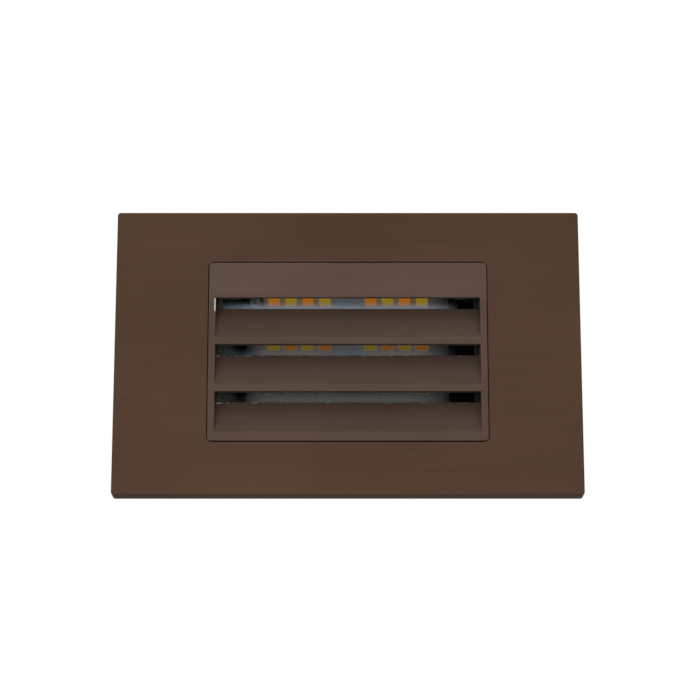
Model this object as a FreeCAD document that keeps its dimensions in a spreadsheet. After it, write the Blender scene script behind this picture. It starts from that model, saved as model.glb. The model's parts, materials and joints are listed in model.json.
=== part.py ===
import FreeCAD, Part
import Sketcher
import operator
import os
from types import SimpleNamespace

# A louvered step light for a horizontal single-gang wall box.
# X runs to the right as seen from the front, Y into the wall, Z up. The wall's face is the plane
# Y = 0, and the origin is midway between the two box screws. All sizes are millimetres.

SIZES = [
    # faceplate
    ("plate_width", 120.0, "faceplate, left to right"),
    ("plate_height", 75.0, "faceplate, bottom to top"),
    ("plate_depth", 5.3, "wall to the faceplate's front"),
    ("plate_skin", 1.8, "thickness of the faceplate's front"),
    ("rim_wall", 1.8, "thickness of the faceplate's rim"),
    ("plate_corner", 0.8, "corner radius seen from the front"),
    ("plate_edge", 1.0, "rounding of the front edge"),
    ("window_gap", 0.5, "gap between louver insert and window"),
    ("window_corner", 1.5, "corner radius of the window"),
    ("window_edge", 0.3, "rounding of the window's front edge"),
    ("post_radius", 1.5, "push-fit post"),
    ("post_inset_x", 13.5, "post to the faceplate's end"),
    ("post_inset_z", 19.0, "post to the faceplate's top or bottom"),
    ("post_clearance", 0.06, "post in its bush, radial"),
    ("post_wall_gap", 0.3, "post's tip to the wall"),
    ("bush_wall", 1.1, "bush's wall"),
    ("bush_flange", 0.9, "bush's flange, thickness and overhang"),
    # wall gasket
    ("gasket_width", 3.8, "foam gasket inside the rim"),
    ("gasket_gap", 0.2, "foam gasket to rim"),
    # louver insert
    ("insert_width", 71.3, "louver insert, left to right"),
    ("insert_proud", 0.4, "insert's front ahead of the faceplate's"),
    ("insert_corner", 1.0, "corner radius of the insert"),
    ("insert_edge", 0.6, "rounding of the insert's outer front edge"),
    ("louver_edge", 0.3, "rounding of the louvers' front edges"),
    ("insert_side", 1.55, "insert's side walls"),
    ("header_height", 9.2, "solid band above the top slot"),
    ("header_thick", 3.0, "thickness of that band"),
    ("header_lip", 1.2, "thickness of its lower lip"),
    ("header_rebate", 1.6, "height of the rebate behind that lip"),
    ("rail_height", 2.5, "bottom rail"),
    ("louver_count", 3, "louvers, the last one ending in the rail"),
    ("cell_height", 10.5, "opening between louver fronts"),
    ("louver_face", 2.0, "height of a louver's front face"),
    ("louver_rise", 8.25, "height of a louver's slope"),
    ("louver_run", 4.3, "depth of a louver's slope"),
    ("louver_foot", 1.7, "depth of a louver's underside"),
    ("louver_tip", 1.3, "thickness of a louver's upper end"),
    ("boss_cover", 2.5, "insert's front to the bosses"),
    ("tap_cover", 1.8, "insert's front to the tapped holes"),
    # mounting yoke
    ("yoke_inset_x", 7.0, "mounting yoke's end to the faceplate's end"),
    ("yoke_inset_z", 9.0, "mounting yoke to the faceplate's top or bottom"),
    ("yoke_thick", 1.2, "sheet steel"),
    ("yoke_corner", 6.0, "corner radius"),
    ("light_gap", 0.2, "yoke's cut-out to the insert's slots"),
    ("tab_margin", 3.2, "clamp screw to the edge of its tab"),
    # box screws
    ("box_spacing", 83.34, "box screws, centre to centre"),
    ("box_screw_radius", 1.75, "box screw's thread"),
    ("box_neck_radius", 1.45, "box screw's neck"),
    ("box_screw_length", 20.0, "behind the yoke"),
    ("slot_length", 7.0, "yoke's slots, end to end"),
    ("slot_clearance", 0.25, "box screw in its slot, each side"),
    # screws
    ("screw_clearance", 0.25, "screw in a plain hole, radial"),
    ("thread_clearance", 0.05, "screw in a tapped hole, radial"),
    ("head_ratio", 1.8, "head radius to screw radius"),
    ("head_height_ratio", 1.1, "head height to screw radius"),
    ("clamp_radius", 1.25, "clamp screws"),
    ("clamp_inset_x", 3.9, "clamp screw to the insert's end"),
    ("clamp_inset_z", 3.9, "clamp screw to the insert's top or bottom"),
    ("column_radius", 2.6, "boss round a clamp screw, or half a corner post"),
    ("tap_end_gap", 0.3, "screw's end to the end of its hole"),
    # light chamber
    ("lens_gasket_thick", 0.8, "silicone gasket"),
    ("lens_gasket_width", 1.2, "silicone gasket"),
    ("lens_thick", 2.0, "clear lens"),
    ("lens_gap", 0.25, "lens or liner to the housing"),
    ("column_gap", 0.3, "lens or liner to the corner posts"),
    ("liner_wall", 1.0, "chamber liner"),
    ("liner_floor", 1.2, "chamber liner's floor"),
    ("chamber_depth", 8.6, "lens to LED board"),
    # LED board
    ("board_post_gap", 2.45, "LED board's ends to the corner posts"),
    ("board_wall_gap", 1.6, "LED board to the housing's top and bottom walls"),
    ("board_thick", 1.6, "LED board"),
    ("board_gap", 0.3, "LED board to the liner's window"),
    ("pad_thick", 0.5, "thermal pad"),
    ("led_width", 3.5, "LED package"),
    ("led_height", 2.8, "LED package"),
    ("led_thick", 0.7, "LED package"),
    ("led_rim", 0.25, "package wall round the phosphor"),
    ("led_sink", 0.1, "phosphor below the package's rim"),
    ("led_columns", 4, "LED columns in each half"),
    ("led_rows", 4, "LED rows"),
    ("led_inset_x", 7.15, "outer column to the board's end"),
    ("led_inset_z", 2.65, "outer row to the board's top or bottom"),
    ("led_pitch_x", 4.5, "columns"),
    ("led_drop", 0.15, "LED rows below the board's middle"),
    ("board_screw_inset_x", 2.2, "board screw to the board's end"),
    ("board_screw_inset_z", 2.5, "board screw to the board's top or bottom"),
    ("board_screw_radius", 1.15, "board screws"),
    ("board_screw_length", 4.0, "board screws, under the head"),
    # link between the boards
    ("pin_radius", 0.4, "link pins"),
    ("pin_pitch", 2.54, "link pins"),
    ("pin_count", 3, "link pins"),
    ("pin_drop", 12.0, "link pins below the middle"),
    ("pin_stub", 0.6, "link pins past the boards"),
    ("pin_gap", 0.1, "link pin in its holes, radial"),
    ("insulator_width", 9.2, "pin insulator"),
    ("insulator_height", 3.6, "pin insulator"),
    ("insulator_lip", 0.9, "pin insulator's flange"),
    ("insulator_gap", 0.1, "pin insulator in its hole"),
    # housing
    ("housing_wall", 1.5, "die-cast walls"),
    ("housing_corner", 2.5, "outer corner radius"),
    ("web_thick", 2.5, "wall between light chamber and driver bay"),
    ("bay_depth", 22.0, "driver bay"),
    ("fin_count", 11, "cooling fins along the top and the bottom"),
    ("fin_pitch", 5.0, "cooling fins"),
    ("fin_width", 1.2, "cooling fins"),
    ("fin_height", 1.0, "cooling fins"),
    ("fin_start", 4.0, "front of the fins"),
    ("fin_length", 30.0, "cooling fins"),
    # rear cover
    ("cover_gasket_thick", 0.8, "rear cover's gasket"),
    ("cover_thick", 2.0, "rear cover"),
    ("cover_edge", 0.6, "rounding of the rear cover"),
    ("cover_rib_thick", 1.2, "ribs that locate the rear cover"),
    ("cover_rib_depth", 1.6, "ribs that locate the rear cover"),
    ("cover_rib_length", 44.0, "ribs that locate the rear cover"),
    ("cover_rib_gap", 0.2, "ribs to the housing"),
    ("cover_screw_radius", 1.5, "cover screws"),
    ("cover_screw_length", 8.0, "cover screws, under the head"),
    ("cover_boss_radius", 2.9, "cover screws' bosses"),
    ("cover_boss_inset", 4.25, "cover screw to the housing's end"),
    ("cover_boss_z", 9.0, "cover screws from the middle"),
    # lead bush
    ("bush_x", 22.0, "lead bush from the middle"),
    ("bush_bore", 3.0, "lead bush's bore"),
    ("bush_body", 4.9, "lead bush in the cover"),
    ("bush_fit", 0.05, "lead bush in its hole, radial"),
    ("bush_lip", 1.5, "lead bush's flanges"),
    # driver board
    ("driver_boss_gap", 0.5, "driver board's left edge to the cover screws' bosses"),
    ("driver_bush_gap", 0.9, "driver board's right edge to the lead bush"),
    ("driver_wall_gap", 1.6, "driver board to the housing's top and bottom walls"),
    ("driver_thick", 1.6, "driver board"),
    ("standoff_length", 17.0, "web to the driver board"),
    ("standoff_radius", 2.4, "standoffs"),
    ("standoff_inset", 2.7, "standoffs from the driver board's edges"),
    ("driver_screw_radius", 1.25, "driver screws"),
    ("driver_screw_length", 6.0, "driver screws, under the head"),
    ("sheet_thick", 0.4, "insulating sheet"),
    ("sheet_margin", 0.6, "insulating sheet to the standoffs"),
    # driver parts: middle in X and Z, then sizes
    ("transformer_x", -4.0, "transformer"),
    ("transformer_z", 8.8, "transformer"),
    ("core_width", 14.0, "transformer core"),
    ("core_height", 11.0, "transformer core, along Y"),
    ("core_thick", 5.0, "transformer core, along Z"),
    ("core_limb", 2.6, "transformer core's outer limbs"),
    ("winding_radius", 3.9, "transformer winding"),
    ("winding_gap", 0.2, "winding to core"),
    ("bobbin_foot", 1.4, "transformer's foot on the board"),
    ("bulk_x", -20.6, "bulk capacitors"),
    ("bulk_z", 2.2, "middle of the two bulk capacitors"),
    ("bulk_pitch", 10.4, "bulk capacitors"),
    ("bulk_radius", 4.0, "bulk capacitors"),
    ("bulk_length", 12.5, "bulk capacitors"),
    ("film_x", -13.5, "film capacitor"),
    ("film_z", -15.2, "film capacitor"),
    ("film_width", 11.0, "film capacitor"),
    ("film_depth", 4.6, "film capacitor, along Z"),
    ("film_length", 9.0, "film capacitor, along Y"),
    ("output_x", 4.6, "output capacitor"),
    ("output_z", 17.9, "output capacitor"),
    ("output_radius", 2.4, "output capacitor"),
    ("output_length", 8.5, "output capacitor"),
    ("bridge_x", 7.2, "bridge rectifier"),
    ("bridge_z", 11.0, "bridge rectifier"),
    ("bridge_width", 5.0, "bridge rectifier"),
    ("bridge_depth", 4.0, "bridge rectifier, along Z"),
    ("bridge_thick", 2.4, "bridge rectifier"),
    ("chip_x", -4.5, "driver chip"),
    ("chip_z", -2.0, "driver chip"),
    ("chip_width", 5.0, "driver chip"),
    ("chip_depth", 3.9, "driver chip, along Z"),
    ("chip_thick", 1.6, "driver chip"),
    ("leg_count", 4, "legs on each side of the chip"),
    ("leg_pitch", 1.27, "legs of the chip"),
    ("leg_width", 0.42, "legs of the chip"),
    ("leg_reach", 1.0, "legs past the chip's body"),
    ("choke_x", -12.6, "choke"),
    ("choke_z", -5.2, "choke"),
    ("choke_radius", 4.0, "choke core"),
    ("choke_length", 9.0, "choke core"),
    ("choke_neck", 2.0, "choke core's neck"),
    ("choke_flange", 1.2, "choke core's ends"),
    ("choke_winding_radius", 3.5, "choke winding"),
    ("varistor_x", -14.0, "varistor"),
    ("varistor_z", 17.6, "varistor"),
    ("varistor_radius", 3.6, "varistor"),
    ("varistor_thick", 2.6, "varistor"),
    ("fuse_x", 9.0, "fuse resistor"),
    ("fuse_z", -12.0, "fuse resistor"),
    ("fuse_radius", 1.6, "fuse resistor"),
    ("fuse_length", 7.0, "fuse resistor"),
    ("terminal_x", 9.4, "terminal block"),
    ("terminal_width", 9.0, "terminal block"),
    ("terminal_pitch", 5.0, "terminal block's poles"),
    ("terminal_poles", 2, "terminal block"),
    ("terminal_length", 8.0, "terminal block, along Y"),
    ("terminal_entry", 1.3, "terminal block's wire entries, radius"),
    # colour selector
    ("selector_x", -8.0, "selector"),
    ("selector_z", 6.0, "selector"),
    ("selector_width", 11.0, "selector body"),
    ("selector_depth", 5.0, "selector body, along Z"),
    ("selector_length", 3.2, "selector body, along Y"),
    ("selector_lid", 1.0, "selector body over the slider's base"),
    ("selector_floor", 0.8, "selector body under the slider's base"),
    ("selector_step", 2.0, "travel from one position to the next"),
    ("slider_base_width", 3.0, "slider's base"),
    ("slider_base_depth", 3.2, "slider's base, along Z"),
    ("slider_stem_width", 1.6, "slider's stem"),
    ("slider_stem_depth", 1.7, "slider's stem, along Z"),
    ("slider_proud", 0.7, "slider's end past the rear cover"),
    ("slider_gap", 0.1, "slider to selector body"),
    ("selector_window_gap", 0.35, "slider to the rear cover"),
    # ground screw
    ("ground_radius", 1.5, "ground screw"),
    ("ground_length", 4.5, "ground screw, under the head"),
    ("ground_depth", 30.0, "wall to the ground screw"),
    ("ground_boss", 3.2, "boss round the ground screw"),
]


class Size:
    # a number of millimetres together with the sheet expression that gives it
    def __init__(self, number, text):
        self.number = number
        self.text = text

    def __add__(self, other):
        return combined(self, "+", other)

    def __radd__(self, other):
        return combined(other, "+", self)

    def __sub__(self, other):
        return combined(self, "-", other)

    def __rsub__(self, other):
        return combined(other, "-", self)

    def __mul__(self, other):
        return combined(self, "*", other)

    def __rmul__(self, other):
        return combined(other, "*", self)

    def __truediv__(self, other):
        return combined(self, "/", other)

    def __neg__(self):
        return combined(0, "-", self)


OPERATIONS = {"+": operator.add, "-": operator.sub, "*": operator.mul, "/": operator.truediv}
ALONG_X = FreeCAD.Rotation(FreeCAD.Vector(0, 1, 0), 90)
ALONG_Y = FreeCAD.Rotation(FreeCAD.Vector(1, 0, 0), -90)
ALONG_Z = FreeCAD.Rotation()
CLOSE = 0.001


def sized(value):
    return value if isinstance(value, Size) else Size(float(value), f"({float(value)})")


def combined(left, sign, right):
    left, right = sized(left), sized(right)
    return Size(OPERATIONS[sign](left.number, right.number), f"({left.text} {sign} {right.text})")


def bind(item, name, value):
    item.setExpression(name, sized(value).text)


doc = FreeCAD.newDocument("step_light")
sheet = doc.addObject("Spreadsheet::Sheet", "Sizes")
names = {}
for row, (alias, number, note) in enumerate(SIZES, start=1):
    sheet.set(f"A{row}", note)
    sheet.set(f"B{row}", str(number))
    sheet.setAlias(f"B{row}", alias)
    names[alias] = Size(number, f"Sizes.{alias}")
doc.recompute()
size = SimpleNamespace(**names)


# ---- spans and places


def across(width, middle=0):
    return (middle - width / 2, middle + width / 2)


def corners(x, z):
    return [(sx * x, sz * z) for sx in (-1, 1) for sz in (-1, 1)]


def place(item, x, y, z, rotation=ALONG_Z):
    item.Placement = FreeCAD.Placement(FreeCAD.Vector(), rotation)
    for axis, value in zip("xyz", (x, y, z)):
        bind(item, f"Placement.Base.{axis}", value)


# ---- plain solids and what is made of them


def block(name, x, y, z):
    item = doc.addObject("Part::Box", name)
    for side, (low, high) in zip(("Length", "Width", "Height"), (x, y, z)):
        bind(item, side, high - low)
    place(item, x[0], y[0], z[0])
    return item


def rod(name, radius, x, y, z, length, along=ALONG_Y):
    item = doc.addObject("Part::Cylinder", name)
    bind(item, "Radius", radius)
    bind(item, "Height", length)
    place(item, x, y, z, along)
    return item


def cone(name, start_radius, end_radius, x, y, z, length, along=ALONG_Y):
    item = doc.addObject("Part::Cone", name)
    bind(item, "Radius1", start_radius)
    bind(item, "Radius2", end_radius)
    bind(item, "Height", length)
    place(item, x, y, z, along)
    return item


def fuse(name, *items):
    item = doc.addObject("Part::MultiFuse", name)
    item.Shapes = list(items)
    return item


def cut(name, base, *tools):
    item = doc.addObject("Part::Cut", name)
    item.Base = base
    item.Tool = tools[0] if len(tools) == 1 else fuse(f"{name}_cutters", *tools)
    return item


def group(name, *items):
    item = doc.addObject("Part::Compound", name)
    item.Links = list(items)
    return item


def mirror(name, source, normal):
    item = doc.addObject("Part::Mirroring", name)
    item.Source = source
    item.Normal = FreeCAD.Vector(*normal)
    return item


def both_sides(name, source, normal):
    return group(name, source, mirror(f"{name}_image", source, normal))


def four_ways(name, source):
    pair = both_sides(f"{name}_pair", source, (1, 0, 0))
    return both_sides(name, pair, (0, 0, 1))


# ---- bodies built from profiles seen from the front


def new_body(name):
    item = doc.addObject("PartDesign::Body", name)
    item.Label = name
    return item


def origin_part(body, role):
    return next(item for item in body.Origin.OriginFeatures if item.Role == role)


def sketch_on(body, role, offset):
    item = body.newObject("Sketcher::SketchObject", f"{body.Name}_sketch")
    item.AttachmentSupport = [(origin_part(body, role), "")]
    item.MapMode = "FlatFace"
    bind(item, "AttachmentOffset.Base.z", offset)
    return item


def fix_point(sketch, line, point, place_on_sketch):
    for kind, value in zip(("DistanceX", "DistanceY"), place_on_sketch):
        rule = Sketcher.Constraint(kind, -1, 1, line, point, sized(value).number)
        bind(sketch, f"Constraints[{sketch.addConstraint(rule)}]", value)


def draw_outline(sketch, points):
    spots = [FreeCAD.Vector(sized(a).number, sized(b).number, 0) for a, b in points]
    first = sketch.GeometryCount
    for i, spot in enumerate(spots):
        sketch.addGeometry(Part.LineSegment(spot, spots[(i + 1) % len(spots)]), False)
    for i, point in enumerate(points):
        after = first + (i + 1) % len(points)
        sketch.addConstraint(Sketcher.Constraint("Coincident", first + i, 2, after, 1))
        fix_point(sketch, first + i, 1, point)


def draw_circle(sketch, x, z, radius):
    middle = FreeCAD.Vector(sized(x).number, sized(z).number, 0)
    ring = Part.Circle(middle, FreeCAD.Vector(0, 0, 1), radius.number)
    line = sketch.addGeometry(ring, False)
    fix_point(sketch, line, 3, (x, z))
    rule = Sketcher.Constraint("Radius", line, radius.number)
    bind(sketch, f"Constraints[{sketch.addConstraint(rule)}]", radius)


def rectangle(x, z):
    return [(x[0], z[0]), (x[1], z[0]), (x[1], z[1]), (x[0], z[1])]


def cross(x, z, notch_x, notch_z):
    # a rectangle whose corners are notched
    upper = [(x, notch_z), (notch_x, notch_z), (notch_x, z)]
    quarters = [[(a, b) for a, b in upper], [(-a, b) for a, b in reversed(upper)]]
    quarters += [[(-a, -b) for a, b in upper], [(a, -b) for a, b in reversed(upper)]]
    return [point for quarter in quarters for point in quarter]


def front_feature(body, kind, y, outlines, circles):
    # a profile that faces the front at y[0] and runs back to y[1]
    before = body.Shape.Volume if body.Tip else 0
    sketch = sketch_on(body, "XZ_Plane", -y[0])
    for points in outlines:
        draw_outline(sketch, points)
    for x, z, radius in circles:
        draw_circle(sketch, x, z, radius)
    item = body.newObject(f"PartDesign::{kind}", f"{body.Name}_{kind.lower()}")
    item.Profile = sketch
    item.Reversed = kind == "Pad"
    bind(item, "Length", y[1] - y[0])
    doc.recompute()
    change = body.Shape.Volume - before
    if (change > 0) != (kind == "Pad") or abs(change) < CLOSE:
        raise RuntimeError(f"{item.Name} changes the volume by {change}")
    return item


def pad(body, y, outlines=(), circles=()):
    return front_feature(body, "Pad", y, outlines, circles)


def pocket(body, y, outlines=(), circles=()):
    return front_feature(body, "Pocket", y, outlines, circles)


def round_edges(body, radius, wanted):
    base = body.Tip
    edges = [f"Edge{i}" for i, edge in enumerate(base.Shape.Edges, 1) if wanted(edge)]
    item = body.newObject("PartDesign::Fillet", f"{body.Name}_fillet")
    item.Base = (base, edges)
    bind(item, "Radius", radius)
    doc.recompute()
    return item


def ends(edge):
    return [vertex.Point for vertex in edge.Vertexes]


def at_corner(x, z):
    # edges that run along Y at the four corners of a rectangle
    def wanted(edge):
        points = ends(edge)
        along = len(points) == 2 and abs(points[0].y - points[1].y) > CLOSE
        return along and all(
            abs(abs(p.x) - x.number) < CLOSE and abs(abs(p.z) - z.number) < CLOSE
            for p in points
        )

    return wanted


def in_plane(y, inside=None, outside=None):
    # edges in a plane of constant Y, inside or outside a rectangle about the middle
    def wanted(edge):
        points = ends(edge)
        if not points or any(abs(p.y - y.number) > CLOSE for p in points):
            return False
        reach_x = max(abs(p.x) for p in points)
        reach_z = max(abs(p.z) for p in points)
        if inside and (reach_x > inside[0].number + CLOSE or reach_z > inside[1].number + CLOSE):
            return False
        return not outside or reach_x > outside[0].number or reach_z > outside[1].number

    return wanted


def closed_ring(y):
    # whole circles in a plane of constant Y
    return lambda edge: len(edge.Vertexes) == 1 and abs(ends(edge)[0].y - y.number) < CLOSE


# ---- depths from front to back, and what several pieces share

plate_front = -size.plate_depth
skin_back = plate_front + size.plate_skin
insert_front = plate_front - size.insert_proud
yoke_front = -size.yoke_thick
wall = sized(0)
lens_front = size.lens_gasket_thick
lens_back = lens_front + size.lens_thick
board_front = lens_back + size.chamber_depth
board_back = board_front + size.board_thick
web_front = board_back + size.pad_thick
web_back = web_front + size.web_thick
sheet_back = web_back + size.sheet_thick
housing_back = web_back + size.bay_depth
cover_front = housing_back + size.cover_gasket_thick
cover_back = cover_front + size.cover_thick
driver_front = web_back + size.standoff_length
driver_back = driver_front + size.driver_thick

louver_pitch = size.cell_height + size.louver_face
louver_gaps = (size.louver_count - 1) * louver_pitch
insert_height = size.header_height + size.cell_height + louver_gaps + size.rail_height
insert_top = insert_height / 2
slot_width = size.insert_width - 2 * size.insert_side
header_bottom = insert_top - size.header_height
rail_top = size.rail_height - insert_top
clamp_x = size.insert_width / 2 - size.clamp_inset_x
clamp_z = insert_top - size.clamp_inset_z
inner_x = size.insert_width / 2 - size.housing_wall
inner_z = insert_top - size.housing_wall
post_face_x = clamp_x - size.column_radius
post_face_z = clamp_z - size.column_radius
cover_screw_x = size.insert_width / 2 - size.cover_boss_inset
board_half_x = post_face_x - size.board_post_gap
board_half_z = inner_z - size.board_wall_gap
board_screw_x = board_half_x - size.board_screw_inset_x
board_screw_z = board_half_z - size.board_screw_inset_z
pin_z = -size.pin_drop
pin_places = [
    (size.pin_pitch * (i - (size.pin_count.number - 1) / 2), pin_z)
    for i in range(size.pin_count.number)
]
post_x = size.plate_width / 2 - size.post_inset_x
post_z = size.plate_height / 2 - size.post_inset_z
bush_outer = size.post_radius + size.post_clearance + size.bush_wall
yoke_width = size.plate_width - 2 * size.yoke_inset_x
yoke_height = size.plate_height - 2 * size.yoke_inset_z
driver_x = (
    size.cover_boss_radius + size.driver_boss_gap - cover_screw_x,
    size.bush_x - size.bush_body - size.bush_lip - size.driver_bush_gap,
)
driver_z = across(2 * (inner_z - size.driver_wall_gap))
standoffs = [
    (x, z)
    for x in (driver_x[0] + size.standoff_inset, driver_x[1] - size.standoff_inset)
    for z in (driver_z[0] + size.standoff_inset, driver_z[1] - size.standoff_inset)
]


def pan_screw(name, radius, x, seat, z, length, facing):
    # facing is the way the head points along Y: -1 to the front, 1 to the back
    head_height = radius * size.head_height_ratio
    head_radius = radius * size.head_ratio
    rim = head_height * 0.55
    recess = head_height * 0.5
    if facing < 0:
        shank = rod(f"{name}_shank", radius, x, seat, z, length)
        flat = rod(f"{name}_flat", head_radius, x, seat - rim, z, rim)
        dome = cone(
            f"{name}_dome", head_radius * 0.7, head_radius, x, seat - head_height, z,
            head_height - rim,
        )
        y = (seat - head_height * 1.5, seat - head_height + recess)
    else:
        shank = rod(f"{name}_shank", radius, x, seat - length, z, length)
        flat = rod(f"{name}_flat", head_radius, x, seat, z, rim)
        dome = cone(
            f"{name}_dome", head_radius, head_radius * 0.7, x, seat + rim, z, head_height - rim
        )
        y = (seat + head_height - recess, seat + head_height * 1.5)
    arm, bar = across(head_radius, x), across(head_radius * 0.22, x)
    arm_z, bar_z = across(head_radius, z), across(head_radius * 0.22, z)
    return cut(
        f"{name}_one",
        fuse(f"{name}_solid", shank, flat, dome),
        block(f"{name}_cross", arm, y, bar_z),
        block(f"{name}_cross", bar, y, arm_z),
    )


# ---- faceplate: a shallow tray with the louver window and four push-fit posts


def make_faceplate():
    body = new_body("faceplate")
    half_x, half_z = size.plate_width / 2, size.plate_height / 2
    window_x = size.insert_width / 2 + size.window_gap
    window_z = insert_top + size.window_gap
    pad(body, (plate_front, wall), [rectangle(across(size.plate_width), across(size.plate_height))])
    pocket(
        body,
        (skin_back, wall),
        [rectangle(across(2 * (half_x - size.rim_wall)), across(2 * (half_z - size.rim_wall)))],
    )
    pocket(body, (plate_front, skin_back), [rectangle(across(2 * window_x), across(2 * window_z))])
    tip = -size.post_wall_gap
    pad(body, (skin_back, tip), circles=[(x, z, size.post_radius) for x, z in corners(post_x, post_z)])
    round_edges(body, size.plate_corner, at_corner(half_x, half_z))
    round_edges(body, size.window_corner, at_corner(window_x, window_z))
    round_edges(body, size.window_edge, in_plane(plate_front, inside=(window_x, window_z)))
    round_edges(body, size.plate_edge, in_plane(plate_front, outside=(window_x, window_z)))
    round_edges(body, size.post_radius / 4, closed_ring(tip))
    return body


# ---- wall gasket: a foam frame stuck inside the rim


def make_wall_gasket():
    outer_x = size.plate_width / 2 - size.rim_wall - size.gasket_gap
    outer_z = size.plate_height / 2 - size.rim_wall - size.gasket_gap
    y = (skin_back, wall)
    outer = block("wall_gasket_outer", across(2 * outer_x), y, across(2 * outer_z))
    inner = block(
        "wall_gasket_inner",
        across(2 * (outer_x - size.gasket_width)),
        y,
        across(2 * (outer_z - size.gasket_width)),
    )
    return cut("wall_gasket", outer, inner)


# ---- louver insert: a frame with a header band, sloped louvers and a bottom rail


def make_louver_insert():
    body = new_body("louver_insert")
    y = (insert_front, yoke_front)
    half_x = size.insert_width / 2
    pad(body, y, [rectangle(across(size.insert_width), across(insert_height))])
    pocket(body, y, [rectangle(across(slot_width), (rail_top, header_bottom))])
    hollow_top = insert_top - size.insert_side
    pocket(
        body,
        (insert_front + size.header_thick, yoke_front),
        [rectangle(across(slot_width), (header_bottom, hollow_top))],
    )
    pocket(
        body,
        (insert_front + size.header_lip, insert_front + size.header_thick),
        [rectangle(across(slot_width), (header_bottom, header_bottom + size.header_rebate))],
    )
    add_louvers(body)
    boss_front = insert_front + size.boss_cover
    places = corners(clamp_x, clamp_z)
    pad(body, (boss_front, yoke_front), circles=[(x, z, size.column_radius) for x, z in places])
    tap = size.clamp_radius + size.thread_clearance
    tap_front = insert_front + size.tap_cover
    pocket(body, (tap_front, yoke_front), circles=[(x, z, tap) for x, z in places])
    round_edges(body, size.insert_corner, at_corner(half_x, insert_top))
    slots = (slot_width / 2, insert_top - size.rail_height)
    round_edges(body, size.louver_edge, in_plane(insert_front, inside=slots))
    round_edges(body, size.insert_edge, in_plane(insert_front, outside=slots))
    return body


def add_louvers(body):
    # each louver leans back and up from its front face; its profile is seen from the side
    top = header_bottom - size.cell_height
    low = top - size.louver_face
    tip_y = insert_front + size.louver_run
    profile = [
        (insert_front, low),
        (insert_front + size.louver_foot, low),
        (tip_y + size.louver_tip, top + size.louver_rise),
        (tip_y, top + size.louver_rise),
        (insert_front, top),
    ]
    sketch = sketch_on(body, "YZ_Plane", 0)
    draw_outline(sketch, profile)
    louver = body.newObject("PartDesign::Pad", "louver_pad")
    louver.Profile = sketch
    louver.SideType = "Symmetric"
    bind(louver, "Length", slot_width)
    doc.recompute()
    row = body.newObject("PartDesign::LinearPattern", "louver_row")
    row.Originals = [louver]
    row.Direction = (origin_part(body, "Z_Axis"), [""])
    row.Reversed = True
    bind(row, "Length", louver_gaps)
    bind(row, "Occurrences", size.louver_count)
    body.Tip = row
    doc.recompute()


# ---- mounting yoke: sheet steel with a cut-out for the light and slots for the box screws


def make_mounting_yoke():
    body = new_body("mounting_yoke")
    y = (yoke_front, wall)
    pad(body, y, [rectangle(across(yoke_width), across(yoke_height))])
    light_x = slot_width / 2 + size.light_gap
    pocket(body, y, [rectangle(across(2 * light_x), across(2 * (clamp_z - size.tab_margin)))])
    pocket(body, y, [rectangle(across(2 * (clamp_x - size.tab_margin)), across(2 * inner_z))])
    slot_half = size.box_screw_radius + size.slot_clearance
    reach = size.slot_length / 2 - slot_half
    middles = [-size.box_spacing / 2, size.box_spacing / 2]
    pocket(
        body, y, [rectangle(across(2 * reach, middle), across(2 * slot_half)) for middle in middles]
    )
    for side in (-1, 1):
        pocket(body, y, circles=[(middle + side * reach, 0, slot_half) for middle in middles])
    hole = size.clamp_radius + size.screw_clearance
    pocket(body, y, circles=[(x, z, hole) for x, z in corners(clamp_x, clamp_z)])
    bush_hole = bush_outer + size.bush_fit
    pocket(body, y, circles=[(x, z, bush_hole) for x, z in corners(post_x, post_z)])
    round_edges(body, size.yoke_corner, at_corner(yoke_width / 2, yoke_height / 2))
    return body


def make_snap_bushes():
    x, z = post_x, post_z
    flange_front = yoke_front - size.bush_flange
    sleeve = rod("snap_sleeve", bush_outer, x, yoke_front, z, size.yoke_thick)
    flange = rod("snap_flange", bush_outer + size.bush_flange, x, flange_front, z, size.bush_flange)
    bore = rod(
        "snap_bore", size.post_radius + size.post_clearance, x, flange_front, z, wall - flange_front
    )
    one = cut("snap_bush", fuse("snap_solid", sleeve, flange), bore)
    return four_ways("snap_bushes", one)


def make_box_screws():
    # a thin neck passes through the slot, and the thread starts behind the yoke
    x = size.box_spacing / 2
    head = pan_screw("box_screw", size.box_neck_radius, x, yoke_front, 0, size.yoke_thick, -1)
    thread = rod("box_thread", size.box_screw_radius, x, wall, 0, size.box_screw_length)
    end_length = size.box_screw_radius / 2
    end = cone(
        "box_screw_end", size.box_screw_radius, size.box_neck_radius, x, size.box_screw_length, 0,
        end_length,
    )
    return both_sides("box_screws", fuse("box_screw", head, thread, end), (1, 0, 0))


def make_clamp_screws():
    tip = insert_front + size.tap_cover + size.tap_end_gap
    one = pan_screw("clamp_screw", size.clamp_radius, clamp_x, web_back, clamp_z, web_back - tip, 1)
    return four_ways("clamp_screws", one)


# ---- lens, its gasket and the chamber liner, all notched round the housing's corner posts


def notched(name, inset, y):
    # a slab that clears the housing's inside by the lens's gap and that inset
    half_x = inner_x - size.lens_gap - inset
    half_z = inner_z - size.lens_gap - inset
    notch_x = post_face_x - size.column_gap - inset
    notch_z = post_face_z - size.column_gap - inset
    spans_x = [(-half_x, -notch_x), (notch_x, half_x)]
    spans_z = [(-half_z, -notch_z), (notch_z, half_z)]
    slab = block(f"{name}_slab", across(2 * half_x), y, across(2 * half_z))
    notches = [block(f"{name}_notch", x, y, z) for x in spans_x for z in spans_z]
    return cut(name, slab, *notches)


def make_lens():
    return notched("lens", 0, (lens_front, lens_back))


def make_lens_gasket():
    y = (wall, lens_front)
    outer = notched("lens_gasket_outer", 0, y)
    inner = notched("lens_gasket_inner", size.lens_gasket_width, y)
    return cut("lens_gasket", outer, inner)


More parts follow.
